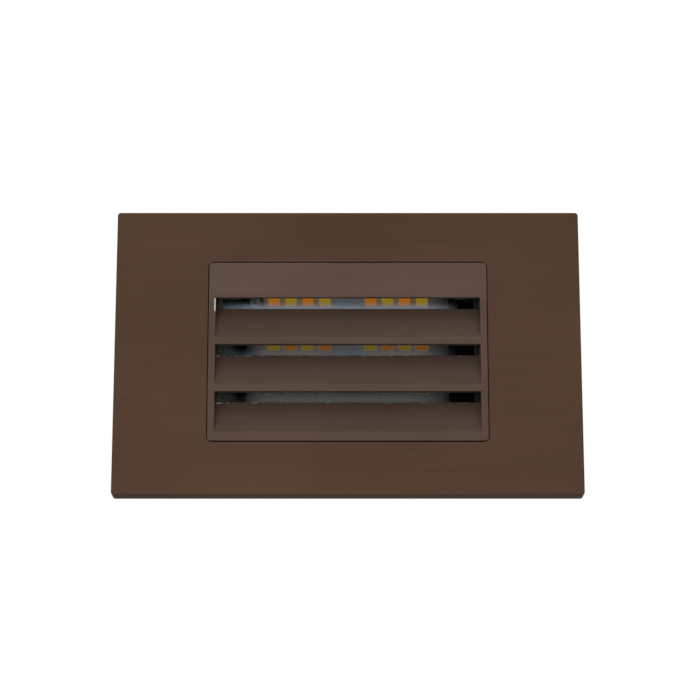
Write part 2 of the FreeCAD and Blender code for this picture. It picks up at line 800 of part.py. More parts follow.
def make_chamber_liner():
    floor_front = board_back - size.liner_floor
    shell = notched("liner_shell", 0, (lens_back, board_back))
    hollow = notched("liner_hollow", size.liner_wall, (lens_back, floor_front))
    window = block(
        "liner_window",
        across(2 * (board_half_x + size.board_gap)),
        (floor_front, board_back),
        across(2 * (board_half_z + size.board_gap)),
    )
    return cut("chamber_liner", shell, hollow, window)


# ---- housing: light chamber in front, driver bay behind, one web between


def make_housing():
    body = new_body("housing")
    half_x = size.insert_width / 2
    pad(body, (wall, housing_back), [rectangle(across(size.insert_width), across(insert_height))])
    pocket(body, (wall, web_front), [cross(inner_x, inner_z, post_face_x, post_face_z)])
    bay = rectangle(across(2 * inner_x), across(2 * inner_z))
    pocket(body, (web_back, housing_back), [bay])
    round_edges(body, size.housing_corner, at_corner(half_x, insert_top))
    clamps = corners(clamp_x, clamp_z)
    bosses = corners(cover_screw_x, size.cover_boss_z)
    pad(body, (web_back, housing_back), circles=[(x, z, size.cover_boss_radius) for x, z in bosses])
    pad(body, (web_back, driver_front), circles=[(x, z, size.standoff_radius) for x, z in standoffs])
    hole = size.clamp_radius + size.screw_clearance
    pocket(body, (wall, web_back), circles=[(x, z, hole) for x, z in clamps])
    tap_gap = size.thread_clearance
    cover_tap = (cover_back - size.cover_screw_length - size.tap_end_gap, housing_back)
    radius = size.cover_screw_radius + tap_gap
    pocket(body, cover_tap, circles=[(x, z, radius) for x, z in bosses])
    driver_tap = (driver_back - size.driver_screw_length - size.tap_end_gap, driver_front)
    radius = size.driver_screw_radius + tap_gap
    pocket(body, driver_tap, circles=[(x, z, radius) for x, z in standoffs])
    radius = size.board_screw_radius + tap_gap
    pocket(
        body,
        (web_front, web_back),
        [
            rectangle(
                across(size.insulator_width + 2 * size.insulator_gap),
                across(size.insulator_height + 2 * size.insulator_gap, pin_z),
            )
        ],
        [(side * board_screw_x, -side * board_screw_z, radius) for side in (-1, 1)],
    )
    add_fins(body)
    add_ground_boss(body)
    return body


def add_fins(body):
    # one fin at the left end of the top face, copied along X and then to the bottom face
    first_x = -(size.fin_count - 1) * size.fin_pitch / 2
    root = insert_top - size.housing_wall / 2
    y = (size.fin_start, size.fin_start + size.fin_length)
    fin = pad(body, y, [rectangle(across(size.fin_width, first_x), (root, insert_top + size.fin_height))])
    low = pad(body, y, [rectangle(across(size.fin_width, first_x), (-insert_top - size.fin_height, -root))])
    row = body.newObject("PartDesign::LinearPattern", "fin_row")
    row.Originals = [fin, low]
    row.Direction = (origin_part(body, "X_Axis"), [""])
    bind(row, "Length", (size.fin_count - 1) * size.fin_pitch)
    bind(row, "Occurrences", size.fin_count)
    body.Tip = row
    doc.recompute()


def add_ground_boss(body):
    # a boss inside the left wall, tapped from outside
    sketch = sketch_on(body, "YZ_Plane", -inner_x - size.housing_wall / 2)
    draw_circle(sketch, size.ground_depth, 0, size.ground_boss)
    boss = body.newObject("PartDesign::Pad", "ground_boss")
    boss.Profile = sketch
    reach = size.ground_length + size.tap_end_gap - size.housing_wall / 2
    bind(boss, "Length", reach)
    doc.recompute()
    sketch = sketch_on(body, "YZ_Plane", -size.insert_width / 2)
    draw_circle(sketch, size.ground_depth, 0, size.ground_radius + size.thread_clearance)
    before = body.Shape.Volume
    hole = body.newObject("PartDesign::Pocket", "ground_hole")
    hole.Profile = sketch
    hole.Reversed = True
    bind(hole, "Length", size.ground_length + size.tap_end_gap)
    doc.recompute()
    if body.Shape.Volume > before - CLOSE:
        raise RuntimeError("the ground screw's hole cuts nothing")


# ---- LED board with its two kinds of LED


def make_led_board():
    y = (board_front, board_back)
    slab = block("led_board_slab", across(2 * board_half_x), y, across(2 * board_half_z))
    screw_hole = size.board_screw_radius + size.screw_clearance
    holes = [
        rod("board_hole", screw_hole, side * board_screw_x, board_front, -side * board_screw_z,
            size.board_thick)
        for side in (-1, 1)
    ]
    holes += [
        rod("pin_hole", size.pin_radius + size.pin_gap, x, board_front, z, size.board_thick)
        for x, z in pin_places
    ]
    return cut("led_board", slab, *holes)


def make_thermal_pad():
    y = (board_back, web_front)
    slab = block("pad_slab", across(2 * board_half_x), y, across(2 * board_half_z))
    screw_hole = size.board_screw_radius + size.screw_clearance
    holes = [
        rod("pad_hole", screw_hole, side * board_screw_x, board_back, -side * board_screw_z,
            size.pad_thick)
        for side in (-1, 1)
    ]
    window = block(
        "pad_window",
        across(size.insulator_width + 2 * size.insulator_gap),
        y,
        across(size.insulator_height + 2 * size.insulator_gap, pin_z),
    )
    return cut("thermal_pad", slab, window, *holes)


def led(x, z):
    package = block(
        "led_package", across(size.led_width, x), (board_front - size.led_thick, board_front),
        across(size.led_height, z),
    )
    face = board_front - size.led_thick
    well = block(
        "led_well",
        across(size.led_width - 2 * size.led_rim, x),
        (face, face + size.led_sink),
        across(size.led_height - 2 * size.led_rim, z),
    )
    return cut("led", package, well)


def make_leds():
    # warm and cool packages alternate along each row, and from row to row
    rows = size.led_rows.number
    columns = size.led_columns.number
    steps = [-i for i in range(columns, 0, -1)] + list(range(1, columns + 1))
    kinds = {0: [], 1: []}
    outer_x = board_half_x - size.led_inset_x
    outer_z = board_half_z - size.led_inset_z
    for row in range(rows):
        z = (outer_z * (1 - 2 * row / (rows - 1)) if rows > 1 else sized(0)) - size.led_drop
        for column, step in enumerate(steps):
            side = 1 if step > 0 else -1
            x = side * (outer_x - (columns - abs(step)) * size.led_pitch_x)
            kinds[(row + column) % 2].append(led(x, z))
    return [group("warm_leds", *kinds[0]), group("cool_leds", *kinds[1])]


def make_board_screws():
    screws = [
        pan_screw("board_screw", size.board_screw_radius, side * board_screw_x, board_front,
                  -side * board_screw_z, size.board_screw_length, -1)
        for side in (-1, 1)
    ]
    return group("board_screws", *screws)


# ---- the link between the two boards


def make_link_pins():
    start = board_front - size.pin_stub
    length = driver_back + size.pin_stub - start
    return group(
        "link_pins", *[rod("link_pin", size.pin_radius, x, start, z, length) for x, z in pin_places]
    )


def make_pin_insulator():
    stem = block(
        "insulator_stem",
        across(size.insulator_width),
        (web_front, sheet_back + size.insulator_lip),
        across(size.insulator_height, pin_z),
    )
    lip = block(
        "insulator_flange",
        across(size.insulator_width + 2 * size.insulator_lip),
        (sheet_back, sheet_back + size.insulator_lip),
        across(size.insulator_height + 2 * size.insulator_lip, pin_z),
    )
    length = sheet_back + size.insulator_lip - web_front
    holes = [
        rod("insulator_hole", size.pin_radius + size.pin_gap, x, web_front, z, length)
        for x, z in pin_places
    ]
    return cut("pin_insulator", fuse("insulator_solid", stem, lip), *holes)


def make_insulating_sheet():
    inset = size.standoff_inset + size.standoff_radius + size.sheet_margin
    y = (web_back, sheet_back)
    slab = block(
        "sheet_slab", (driver_x[0] + inset, driver_x[1] - inset), y, driver_z
    )
    window = block(
        "sheet_window",
        across(size.insulator_width + 2 * size.insulator_gap),
        y,
        across(size.insulator_height + 2 * size.insulator_gap, pin_z),
    )
    return cut("insulating_sheet", slab, window)


# ---- driver board and its parts, which stand on its front face


def make_driver_board():
    y = (driver_front, driver_back)
    slab = block("driver_slab", driver_x, y, driver_z)
    hole = size.driver_screw_radius + size.screw_clearance
    holes = [rod("driver_hole", hole, x, y[0], z, size.driver_thick) for x, z in standoffs]
    holes += [
        rod("pin_hole", size.pin_radius + size.pin_gap, x, y[0], z, size.driver_thick)
        for x, z in pin_places
    ]
    return cut("driver_board", slab, *holes)


def make_driver_screws():
    screws = [
        pan_screw("driver_screw", size.driver_screw_radius, x, driver_back, z,
                  size.driver_screw_length, 1)
        for x, z in standoffs
    ]
    return group("driver_screws", *screws)


def make_transformer():
    x, z = size.transformer_x, size.transformer_z
    back = driver_front - size.bobbin_foot
    y = (back - size.core_height, back)
    outer = block("core_outer", across(size.core_width, x), y, across(size.core_thick, z))
    window = block(
        "core_window",
        across(size.core_width - 2 * size.core_limb, x),
        (y[0] + size.core_limb, y[1] - size.core_limb),
        across(size.core_thick, z),
    )
    limb_radius = size.core_thick / 2
    limb = rod("core_limb", limb_radius, x, y[0], z, size.core_height)
    core = fuse("transformer_core", cut("core_frame", outer, window), limb)
    start = y[0] + size.core_limb + size.winding_gap
    length = size.core_height - 2 * (size.core_limb + size.winding_gap)
    coil = rod("winding_outer", size.winding_radius, x, start, z, length)
    bore = rod("winding_bore", limb_radius + size.winding_gap, x, start, z, length)
    winding = cut("transformer_winding", coil, bore)
    foot = block(
        "bobbin_foot_slab",
        across(size.core_width, x),
        (back, driver_front),
        across(2 * size.winding_radius, z),
    )
    foot.Label = "transformer_base"
    return [core, winding, foot]


def can(name, radius, length, x, z):
    # an electrolytic can with its rolled groove near the board
    start = driver_front - length
    groove = radius * 0.12
    lower = radius * 0.55
    top = rod(f"{name}_top", radius, x, start, z, length - lower)
    neck = rod(f"{name}_neck", radius - groove, x, start, z, length)
    foot = rod(f"{name}_foot", radius, x, driver_front - lower + 2 * groove, z, lower - 2 * groove)
    return fuse(f"{name}_can", top, neck, foot)


def make_capacitors():
    bulk = [
        can("bulk", size.bulk_radius, size.bulk_length, size.bulk_x, z)
        for z in across(size.bulk_pitch, size.bulk_z)
    ]
    film = block(
        "film_capacitor",
        across(size.film_width, size.film_x),
        (driver_front - size.film_length, driver_front),
        across(size.film_depth, size.film_z),
    )
    output = can("output", size.output_radius, size.output_length, size.output_x, size.output_z)
    output.Label = "output_capacitor"
    return [group("bulk_capacitors", *bulk), film, output]


def make_bridge_rectifier():
    return block(
        "bridge_rectifier",
        across(size.bridge_width, size.bridge_x),
        (driver_front - size.bridge_thick, driver_front),
        across(size.bridge_depth, size.bridge_z),
    )


def make_driver_chip():
    standoff = size.leg_width / 2
    case = block(
        "chip_case",
        across(size.chip_width, size.chip_x),
        (driver_front - size.chip_thick, driver_front - standoff),
        across(size.chip_depth, size.chip_z),
    )
    count = size.leg_count.number
    legs = [
        block(
            "chip_leg",
            across(size.leg_width, size.chip_x + size.leg_pitch * (i - (count - 1) / 2)),
            (driver_front - 2 * standoff, driver_front),
            across(size.chip_depth + 2 * size.leg_reach, size.chip_z),
        )
        for i in range(count)
    ]
    return fuse("driver_chip", case, *legs)


def make_choke():
    x, z = size.choke_x, size.choke_z
    start = driver_front - size.choke_length
    lower = driver_front - size.choke_flange
    core = fuse(
        "choke_core",
        rod("choke_end", size.choke_radius, x, start, z, size.choke_flange),
        rod("choke_neck_rod", size.choke_neck, x, start, z, size.choke_length),
        rod("choke_end", size.choke_radius, x, lower, z, size.choke_flange),
    )
    gap = size.winding_gap
    first = start + size.choke_flange + gap
    length = size.choke_length - 2 * (size.choke_flange + gap)
    winding = cut(
        "choke_winding",
        rod("choke_coil", size.choke_winding_radius, x, first, z, length),
        rod("choke_coil_bore", size.choke_neck + gap, x, first, z, length),
    )
    return [core, winding]


def make_varistor():
    y = driver_front - size.varistor_radius
    return rod(
        "varistor", size.varistor_radius, size.varistor_x, y, size.varistor_z - size.varistor_thick / 2,
        size.varistor_thick, ALONG_Z,
    )


def make_fuse_resistor():
    y = driver_front - size.fuse_radius
    x = size.fuse_x - size.fuse_length / 2
    return rod("fuse_resistor", size.fuse_radius, x, y, size.fuse_z, size.fuse_length, ALONG_X)


def make_terminal_block():
    # the wires enter from the right, beside the lead bush
    x = across(size.terminal_width, size.terminal_x)
    poles = size.terminal_poles.number
    y = (driver_front - size.terminal_length, driver_front)
    case = block("terminal_case", x, y, across(size.terminal_pitch * poles))
    middle = driver_front - size.terminal_length / 2
    depth = size.terminal_width / 2
    entries = [
        rod("terminal_hole", size.terminal_entry, x[1] - depth, middle,
            size.terminal_pitch * (i - (poles - 1) / 2), depth, ALONG_X)
        for i in range(poles)
    ]
    return cut("terminal_block", case, *entries)


# ---- colour selector: a three-position slide switch behind the driver board


def make_selector():
    x, z = size.selector_x, size.selector_z
    front = driver_back
    back = front + size.selector_length
    gap = size.slider_gap
    travel = 2 * size.selector_step
    base = (front + size.selector_floor + gap, back - size.selector_lid - gap)
    case = block(
        "selector_case", across(size.selector_width, x), (front, back), across(size.selector_depth, z)
    )
    channel = block(
        "selector_channel",
        across(size.slider_base_width + travel + 2 * gap, x),
        (base[0] - gap, base[1] + gap),
        across(size.slider_base_depth + 2 * gap, z),
    )
    mouth = block(
        "selector_mouth",
        across(size.slider_stem_width + travel + 2 * gap, x),
        (base[1] + gap, back),
        across(size.slider_stem_depth + 2 * gap, z),
    )
    foot = block(
        "slider_foot", across(size.slider_base_width, x), base, across(size.slider_base_depth, z)
    )
    stem = block(
        "slider_stem",
        across(size.slider_stem_width, x),
        (base[0], cover_back + size.slider_proud),
        across(size.slider_stem_depth, z),
    )
    return [
        cut("selector_body", case, channel, mouth),
        fuse("selector_slider", foot, stem),
    ]


# ---- rear cover, its gasket and screws, and the lead bush


def make_cover_gasket():
    body = new_body("cover_gasket")
    y = (housing_back, cover_front)
    half_x = size.insert_width / 2
    pad(body, y, [rectangle(across(size.insert_width), across(insert_height))])
    pocket(body, y, [rectangle(across(2 * inner_x), across(2 * inner_z))])
    round_edges(body, size.housing_corner, at_corner(half_x, insert_top))
    bosses = corners(cover_screw_x, size.cover_boss_z)
    pad(body, y, circles=[(x, z, size.cover_boss_radius) for x, z in bosses])
    hole = size.cover_screw_radius + size.screw_clearance
    pocket(body, y, circles=[(x, z, hole) for x, z in bosses])
    return body


def make_rear_cover():
    body = new_body("rear_cover")
    y = (cover_front, cover_back)
    half_x = size.insert_width / 2
    pad(body, y, [rectangle(across(size.insert_width), across(insert_height))])
    round_edges(body, size.housing_corner, at_corner(half_x, insert_top))
    rib_front = housing_back - size.cover_rib_depth
    rib_top = inner_z - size.cover_rib_gap
    rib_low = rib_top - size.cover_rib_thick
    ribs = [(rib_low, rib_top), (-rib_top, -rib_low)]
    pad(body, (rib_front, cover_front), [rectangle(across(size.cover_rib_length), z) for z in ribs])
    hole = size.cover_screw_radius + size.screw_clearance
    screws = corners(cover_screw_x, size.cover_boss_z)
    pocket(body, y, circles=[(x, z, hole) for x, z in screws])
    pocket(body, y, circles=[(size.bush_x, 0, size.bush_body + size.bush_fit)])
    gap = size.selector_window_gap
    window_x = across(size.slider_stem_width + 2 * (size.selector_step + gap), size.selector_x)
    window_z = across(size.slider_stem_depth + 2 * gap, size.selector_z)
    pocket(body, y, [rectangle(window_x, window_z)])
    inset = size.housing_corner + size.cover_edge
    rim = (half_x - inset, insert_top - inset)
    round_edges(body, size.cover_edge, in_plane(cover_back, outside=rim))
    return body


def make_cover_screws():
    one = pan_screw(
        "cover_screw", size.cover_screw_radius, cover_screw_x, cover_back, size.cover_boss_z,
        size.cover_screw_length, 1,
    )
    return four_ways("cover_screws", one)


def make_lead_bush():
    x = size.bush_x
    lip_radius = size.bush_body + size.bush_lip
    outer = rod("lead_bush_outer", lip_radius, x, cover_back, 0, size.bush_lip)
    body = rod("lead_bush_body", size.bush_body, x, cover_front, 0, size.cover_thick)
    inner = rod("lead_bush_inner", lip_radius, x, cover_front - size.bush_lip, 0, size.bush_lip)
    length = size.cover_thick + 2 * size.bush_lip
    bore = rod("lead_bush_bore", size.bush_bore, x, cover_front - size.bush_lip, 0, length)
    return cut("lead_bush", fuse("lead_bush_solid", outer, body, inner), bore)


def make_ground_screw():
    # a green screw in the housing's left wall, its head outside
    seat = -size.insert_width / 2
    head_height = size.ground_radius * size.head_height_ratio
    head_radius = size.ground_radius * size.head_ratio
    y = size.ground_depth
    shank = rod("ground_shank", size.ground_radius, seat, y, 0, size.ground_length, ALONG_X)
    head = rod("ground_head", head_radius, seat - head_height, y, 0, head_height, ALONG_X)
    recess = block(
        "ground_slot",
        (seat - head_height * 1.5, seat - head_height * 0.5),
        across(2 * head_radius, y),
        across(head_radius * 0.25),
    )
    return cut("ground_screw", fuse("ground_solid", shank, head), recess)


pieces = [
    make_faceplate(),
    make_wall_gasket(),
    make_louver_insert(),
    make_mounting_yoke(),
    make_snap_bushes(),
    make_box_screws(),
    make_clamp_screws(),
    make_lens_gasket(),
    make_lens(),
    make_chamber_liner(),
    make_led_board(),
    *make_leds(),
    make_board_screws(),
    make_thermal_pad(),
    make_housing(),
    make_link_pins(),
    make_pin_insulator(),
    make_insulating_sheet(),
    make_driver_board(),
    make_driver_screws(),
    *make_transformer(),
    *make_capacitors(),
    make_bridge_rectifier(),
    make_driver_chip(),
    *make_choke(),
    make_varistor(),
    make_fuse_resistor(),
    make_terminal_block(),
    *make_selector(),
    make_cover_gasket(),
    make_rear_cover(),
    make_cover_screws(),
    make_lead_bush(),
    make_ground_screw(),
]
doc.recompute()

for item in doc.Objects:
    faults = [state for state in item.State if state in ("Invalid", "Error")]
    if faults:
        raise RuntimeError(f"{item.Name} is {faults}")

os.makedirs("parts", exist_ok=True)
for piece in pieces:
    shape = piece.Shape
    if shape.isNull() or not shape.isValid() or not shape.Solids:
        raise RuntimeError(f"{piece.Label} has no valid solid")
    shape.exportStep(f"parts/{piece.Label}.step")
    print(f"{piece.Label}: {len(shape.Solids)} solids, {shape.Volume:.1f} mm3")
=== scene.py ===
import json
import math

import bmesh
import bpy
from mathutils import Matrix, Vector


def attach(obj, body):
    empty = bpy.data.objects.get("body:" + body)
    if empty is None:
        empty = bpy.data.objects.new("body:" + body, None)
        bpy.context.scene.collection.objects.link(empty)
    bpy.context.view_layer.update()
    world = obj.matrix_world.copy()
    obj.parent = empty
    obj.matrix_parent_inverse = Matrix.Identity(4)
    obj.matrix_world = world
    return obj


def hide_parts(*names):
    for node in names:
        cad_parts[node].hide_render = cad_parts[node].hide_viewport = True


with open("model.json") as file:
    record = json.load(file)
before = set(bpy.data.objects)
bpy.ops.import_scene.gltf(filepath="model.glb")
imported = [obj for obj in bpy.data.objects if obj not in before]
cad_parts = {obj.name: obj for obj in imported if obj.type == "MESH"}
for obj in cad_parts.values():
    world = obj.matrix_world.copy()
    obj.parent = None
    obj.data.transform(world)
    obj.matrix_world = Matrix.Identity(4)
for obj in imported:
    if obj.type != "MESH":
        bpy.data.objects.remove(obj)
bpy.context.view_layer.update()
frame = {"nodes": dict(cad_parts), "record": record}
mm = 0.001
print("stage: frame loaded")


# ---- colours and nodes

# between these two values lies most of what a noise gives
noiseSwing = (0.3, 0.7)
# what the grained finishes share: drift in millimetres, and the stretch of fine times broad
# noise over which the two colours blend
grain = {"drift": 12.0, "blendFrom": 0.1, "blendTo": 0.42, "roughSpread": 0.05, "bump": 0.3,
         "height": 0.02}
# painted light and shade in the light chamber: where each ramp starts and ends, in millimetres
chamberLight = {"glowRise": (-8.0, 18.0), "glowPower": 2.0, "besideLeds": (2.5, 8.0),
                "spillEnds": (17.0, 25.0)}


def linearColour(hexCode):
    channels = [int(hexCode[i:i + 2], 16) / 255 for i in (1, 3, 5)]
    return [c / 12.92 if c <= 0.04045 else ((c + 0.055) / 1.055) ** 2.4 for c in channels] + [1.0]


def addNode(tree, kind, sockets=None, **settings):
    node = tree.nodes.new(kind)
    for name, value in settings.items():
        setattr(node, name, value)
    for name, value in (sockets or {}).items():
        if isinstance(value, bpy.types.NodeSocket):
            tree.links.new(value, node.inputs[name])
        else:
            node.inputs[name].default_value = value
    return node


def newMaterial(name, shaderSockets):
    material = bpy.data.materials.new(name)
    material.use_nodes = True
    tree = material.node_tree
    shader = tree.nodes["Principled BSDF"]
    for socket, value in shaderSockets.items():
        shader.inputs[socket].default_value = value
    return material, tree, shader


def patternPlace(tree, spacing):
    # object coordinates divided by a spacing in millimetres along X, Y and Z
    where = addNode(tree, "ShaderNodeTexCoord")
    scale = [1 / (step * mm) for step in spacing]
    return addNode(tree, "ShaderNodeMapping",
                   {"Vector": where.outputs["Object"], "Scale": scale}).outputs["Vector"]


def placeRamp(tree, axis, start, end, low, high, absolute=False):
    # goes from low to high between two places along an object axis, in millimetres
    where = addNode(tree, "ShaderNodeSeparateXYZ", {
        "Vector": addNode(tree, "ShaderNodeTexCoord").outputs["Object"]}).outputs[axis]
    if absolute:
        where = addNode(tree, "ShaderNodeMath", {0: where}, operation="ABSOLUTE").outputs[0]
    return addNode(tree, "ShaderNodeMapRange", {
        "Value": where, "From Min": start * mm, "From Max": end * mm, "To Min": low,
        "To Max": high}).outputs["Result"]


def roughenSurface(tree, shader, noise, rough, spread, strength, height):
    # the noise swings the roughness by the spread, and lifts the surface by the height
    low, high = noiseSwing
    swing = addNode(tree, "ShaderNodeMapRange", {
        "Value": noise, "From Min": low, "From Max": high, "To Min": rough - spread,
        "To Max": rough + spread})
    tree.links.new(swing.outputs["Result"], shader.inputs["Roughness"])
    bump = addNode(tree, "ShaderNodeBump", {
        "Strength": strength, "Distance": height * mm, "Height": noise})
    tree.links.new(bump.outputs["Normal"], shader.inputs["Normal"])


def grainMaterial(name, look):
    # a base colour that drifts towards a second one, with a fine grain in roughness and height
    sockets = {"Roughness": look["rough"], "Metallic": look.get("metal", 0.0)}
    sockets.update(look.get("sockets", {}))
    material, tree, shader = newMaterial(name, sockets)
    spacing = look["spacing"]
    stretch = look.get("stretch", (1, 1, 1))
    fine = addNode(tree, "ShaderNodeTexNoise", {
        "Vector": patternPlace(tree, [spacing * s for s in stretch]),
        "Scale": 1.0, "Detail": 4.0, "Roughness": 0.6})
    broad = addNode(tree, "ShaderNodeTexNoise", {
        "Vector": patternPlace(tree, [grain["drift"]] * 3), "Scale": 1.0, "Detail": 2.0})
    blend = addNode(tree, "ShaderNodeMath", {0: fine.outputs["Fac"], 1: broad.outputs["Fac"]},
                    operation="MULTIPLY")
    colour = addNode(tree, "ShaderNodeMix", {
        "Factor": addNode(tree, "ShaderNodeMapRange", {
            "Value": blend.outputs[0], "From Min": grain["blendFrom"],
            "From Max": grain["blendTo"]}).outputs["Result"],
        "A": linearColour(look["colour"]), "B": linearColour(look["second"])},
        data_type="RGBA")
    for end in look.get("ends", ()):
        # painted shade: the colour goes towards black at the ends, where less light reaches
        colour = addNode(tree, "ShaderNodeMix", {
            "Factor": placeRamp(tree, "X", *end), "A": colour.outputs["Result"],
            "B": linearColour("#000000")}, data_type="RGBA")
    tree.links.new(colour.outputs["Result"], shader.inputs["Base Color"])
    if "glow" in look:
        # painted light: the emission fades towards the lower rows, which less daylight reaches
        glow = addNode(tree, "ShaderNodeMath", {
            0: placeRamp(tree, "Z", *chamberLight["glowRise"], 0.0,
                         look["glow"] ** (1 / chamberLight["glowPower"])),
            1: chamberLight["glowPower"]}, operation="POWER")
        tree.links.new(glow.outputs[0], shader.inputs["Emission Strength"])
    if "spill" in look:
        # painted light: an emission stands for light thrown about between louvers and board, warm
        # round the LEDs, cool in the middle
        tint = addNode(tree, "ShaderNodeMix", {
            "Factor": placeRamp(tree, "X", *chamberLight["besideLeds"], 0.0, 1.0, absolute=True),
            "A": linearColour(look["spillMiddle"]), "B": linearColour(look["spillByLeds"])},
            data_type="RGBA")
        away = addNode(tree, "ShaderNodeMath", {
            0: placeRamp(tree, "Z", *look["spill"]),
            1: placeRamp(tree, "X", *chamberLight["spillEnds"], 1.0, 0.0, absolute=True)},
            operation="MULTIPLY")
        tree.links.new(tint.outputs["Result"], shader.inputs["Emission Color"])
        tree.links.new(away.outputs[0], shader.inputs["Emission Strength"])
    roughenSurface(tree, shader, fine.outputs["Fac"], look["rough"], grain["roughSpread"],
                   look.get("bump", grain["bump"]), look.get("height", grain["height"]))
    return material


# ---- finishes: what each one is, and what that gives the eye

# spacing is the grain's size in millimetres, stretch lengthens it along an axis, bump is its
# strength and height its depth in millimetres. ends: painted shade, with start and end along X and
# how far each goes to black. spill: painted light, with start and end along Z and how bright the
# light thrown on it gets. glow: painted light, how bright a phosphor's emission gets
finishes = {
    # black closed-cell foam: matt, with small cells
    "foamBlack": {"colour": "#17181a", "second": "#222325", "rough": 0.92, "spacing": 0.6,
                  "bump": 0.8, "height": 0.15},
    # black-passivated zinc on sheet steel: near black with a dull sheen, slightly cloudy
    "blackPassivatedZinc": {"colour": "#232426", "second": "#303134", "rough": 0.42, "metal": 0.6,
                            "spacing": 0.8, "stretch": (8, 1, 1), "bump": 0.15, "height": 0.01},
    # bright zinc screws: sharp highlights, fine turning marks
    "brightZincScrew": {"colour": "#b9bbbd", "second": "#c8c8c6", "rough": 0.36, "metal": 1.0,
                        "spacing": 0.6, "bump": 0.05, "height": 0.01},
    # natural nylon: milky and soft in the light
    "naturalNylon": {"colour": "#dcd8cb", "second": "#e8e5da", "rough": 0.48, "spacing": 0.8,
                     "sockets": {"Subsurface Weight": 0.15, "Subsurface Scale": 0.001}},
    # grey silicone: dull, with a greenish cast; its right end is darkened as painted shade
    "greySilicone": {"colour": "#3d423c", "second": "#4a4f48", "rough": 0.7, "spacing": 0.7,
                     "ends": [(28.0, 32.0, 0.0, 0.85)], "sockets": {"Specular IOR Level": 0.2}},
    # black moulded liner: fine spark-eroded texture
    "blackMouldedLiner": {"colour": "#0b0c0b", "second": "#131513", "rough": 0.7, "spacing": 0.35,
                          "bump": 0.5, "height": 0.03, "sockets": {"Specular IOR Level": 0.08}},
    # white solder mask on an aluminium core: slightly glossy, with painted shade at its ends and
    # painted light thrown on it
    "whiteSolderMask": {"colour": "#a3a8a6", "second": "#b2b7b5", "rough": 0.34, "spacing": 1.2,
                        "ends": [(-21.5, -26.7, 0.0, 0.85), (18.0, 26.7, 0.0, 0.85)],
                        "spill": (-6.0, 18.0, 0.0, 0.062),
                        "spillMiddle": "#9db2d0", "spillByLeds": "#ffb648"},
    # white moulded LED package
    "ledPackageWhite": {"colour": "#dcdcd6", "second": "#ecece6", "rough": 0.45, "spacing": 0.4},
    # grey gap pad
    "greyGapPad": {"colour": "#8f949b", "second": "#9ea3a9", "rough": 0.75, "spacing": 0.5},
    # blasted die-cast aluminium: light grey, even grain
    "blastedAluminium": {"colour": "#9b9b99", "second": "#b3b3b0", "rough": 0.52, "metal": 1.0,
                         "spacing": 0.35, "bump": 0.5, "height": 0.03},
    # tinned brass pins
    "tinnedBrass": {"colour": "#c9b06a", "second": "#d8c88f", "rough": 0.28, "metal": 1.0,
                    "spacing": 0.4},
    # vulcanised fibre sheet
    "fibreSheet": {"colour": "#cfc7a6", "second": "#ddd6b9", "rough": 0.8, "spacing": 0.5},
    # green solder mask over copper
    "greenSolderMask": {"colour": "#0f4a2a", "second": "#176238", "rough": 0.32, "spacing": 1.5},
    # sintered ferrite: dark grey, slightly sparkling
    "sinteredFerrite": {"colour": "#2a2a2c", "second": "#3a3a3c", "rough": 0.55, "spacing": 0.2},
    # yellow polyester tape round the winding
    "polyesterTape": {"colour": "#d8b72c", "second": "#e7cb50", "rough": 0.3, "spacing": 0.6,
                      "stretch": (1, 6, 1)},
    # enamelled copper wire, 0.25 mm, wound side by side
    "enamelledCopper": {"colour": "#8f4a1f", "second": "#c0703a", "rough": 0.25, "metal": 1.0,
                        "spacing": 0.25, "stretch": (20, 1, 20), "bump": 0.6, "height": 0.1},
    # dark shrink sleeve on the cans
    "shrinkSleeve": {"colour": "#1b2233", "second": "#263048", "rough": 0.35, "spacing": 0.8},
    # ochre moulded film capacitor
    "filmCapacitorCase": {"colour": "#b08a1e", "second": "#c39b2c", "rough": 0.35, "spacing": 0.6},
    # black epoxy moulding
    "blackEpoxy": {"colour": "#131314", "second": "#1f1f20", "rough": 0.5, "spacing": 0.3,
                   "bump": 0.4, "height": 0.02},
    # blue dipped epoxy
    "blueDippedEpoxy": {"colour": "#1b3f8f", "second": "#2850a5", "rough": 0.3, "spacing": 0.8},
    # pale lacquer on the fuse resistor
    "paleLacquer": {"colour": "#8fb0bb", "second": "#a3c2cc", "rough": 0.45, "spacing": 0.5},
    # green nylon terminal block
    "terminalNylon": {"colour": "#1d7a3a", "second": "#2a8f49", "rough": 0.45, "spacing": 0.5},
    # white acetal slider
    "whiteAcetal": {"colour": "#dedfda", "second": "#ecede8", "rough": 0.38, "spacing": 0.6},
    # black rubber bush
    "blackRubber": {"colour": "#151516", "second": "#202021", "rough": 0.68, "spacing": 0.5,
                    "bump": 0.4, "height": 0.03},
    # green lacquer on the ground screw
    "groundGreenLacquer": {"colour": "#157a35", "second": "#1f9145", "rough": 0.3, "spacing": 0.4,
                           "metal": 0.5},
    # orange and yellow phosphor in silicone: saturated, a little glossy. Daylight makes it glow a
    # little; the emission is painted light for that glow and for the daylight falling on it,
    # fading to the lower rows
    "warmPhosphor": {"colour": "#f08c00", "second": "#fa9a08", "rough": 0.4, "spacing": 0.3,
                     "glow": 0.24, "sockets": {"Emission Color": linearColour("#ff9800")}},
    "coolPhosphor": {"colour": "#e6c000", "second": "#f0cc10", "rough": 0.4, "spacing": 0.3,
                     "glow": 0.18, "sockets": {"Emission Color": linearColour("#f4c400")}},
    # the thin phosphor on the cup's walls, paler
    "warmCupWall": {"colour": "#eeb870", "second": "#f2c48a", "rough": 0.4, "spacing": 0.3},
    "coolCupWall": {"colour": "#e2d58c", "second": "#e8dda2", "rough": 0.4, "spacing": 0.3},
}
made = {name: grainMaterial(name, look) for name, look in finishes.items()}

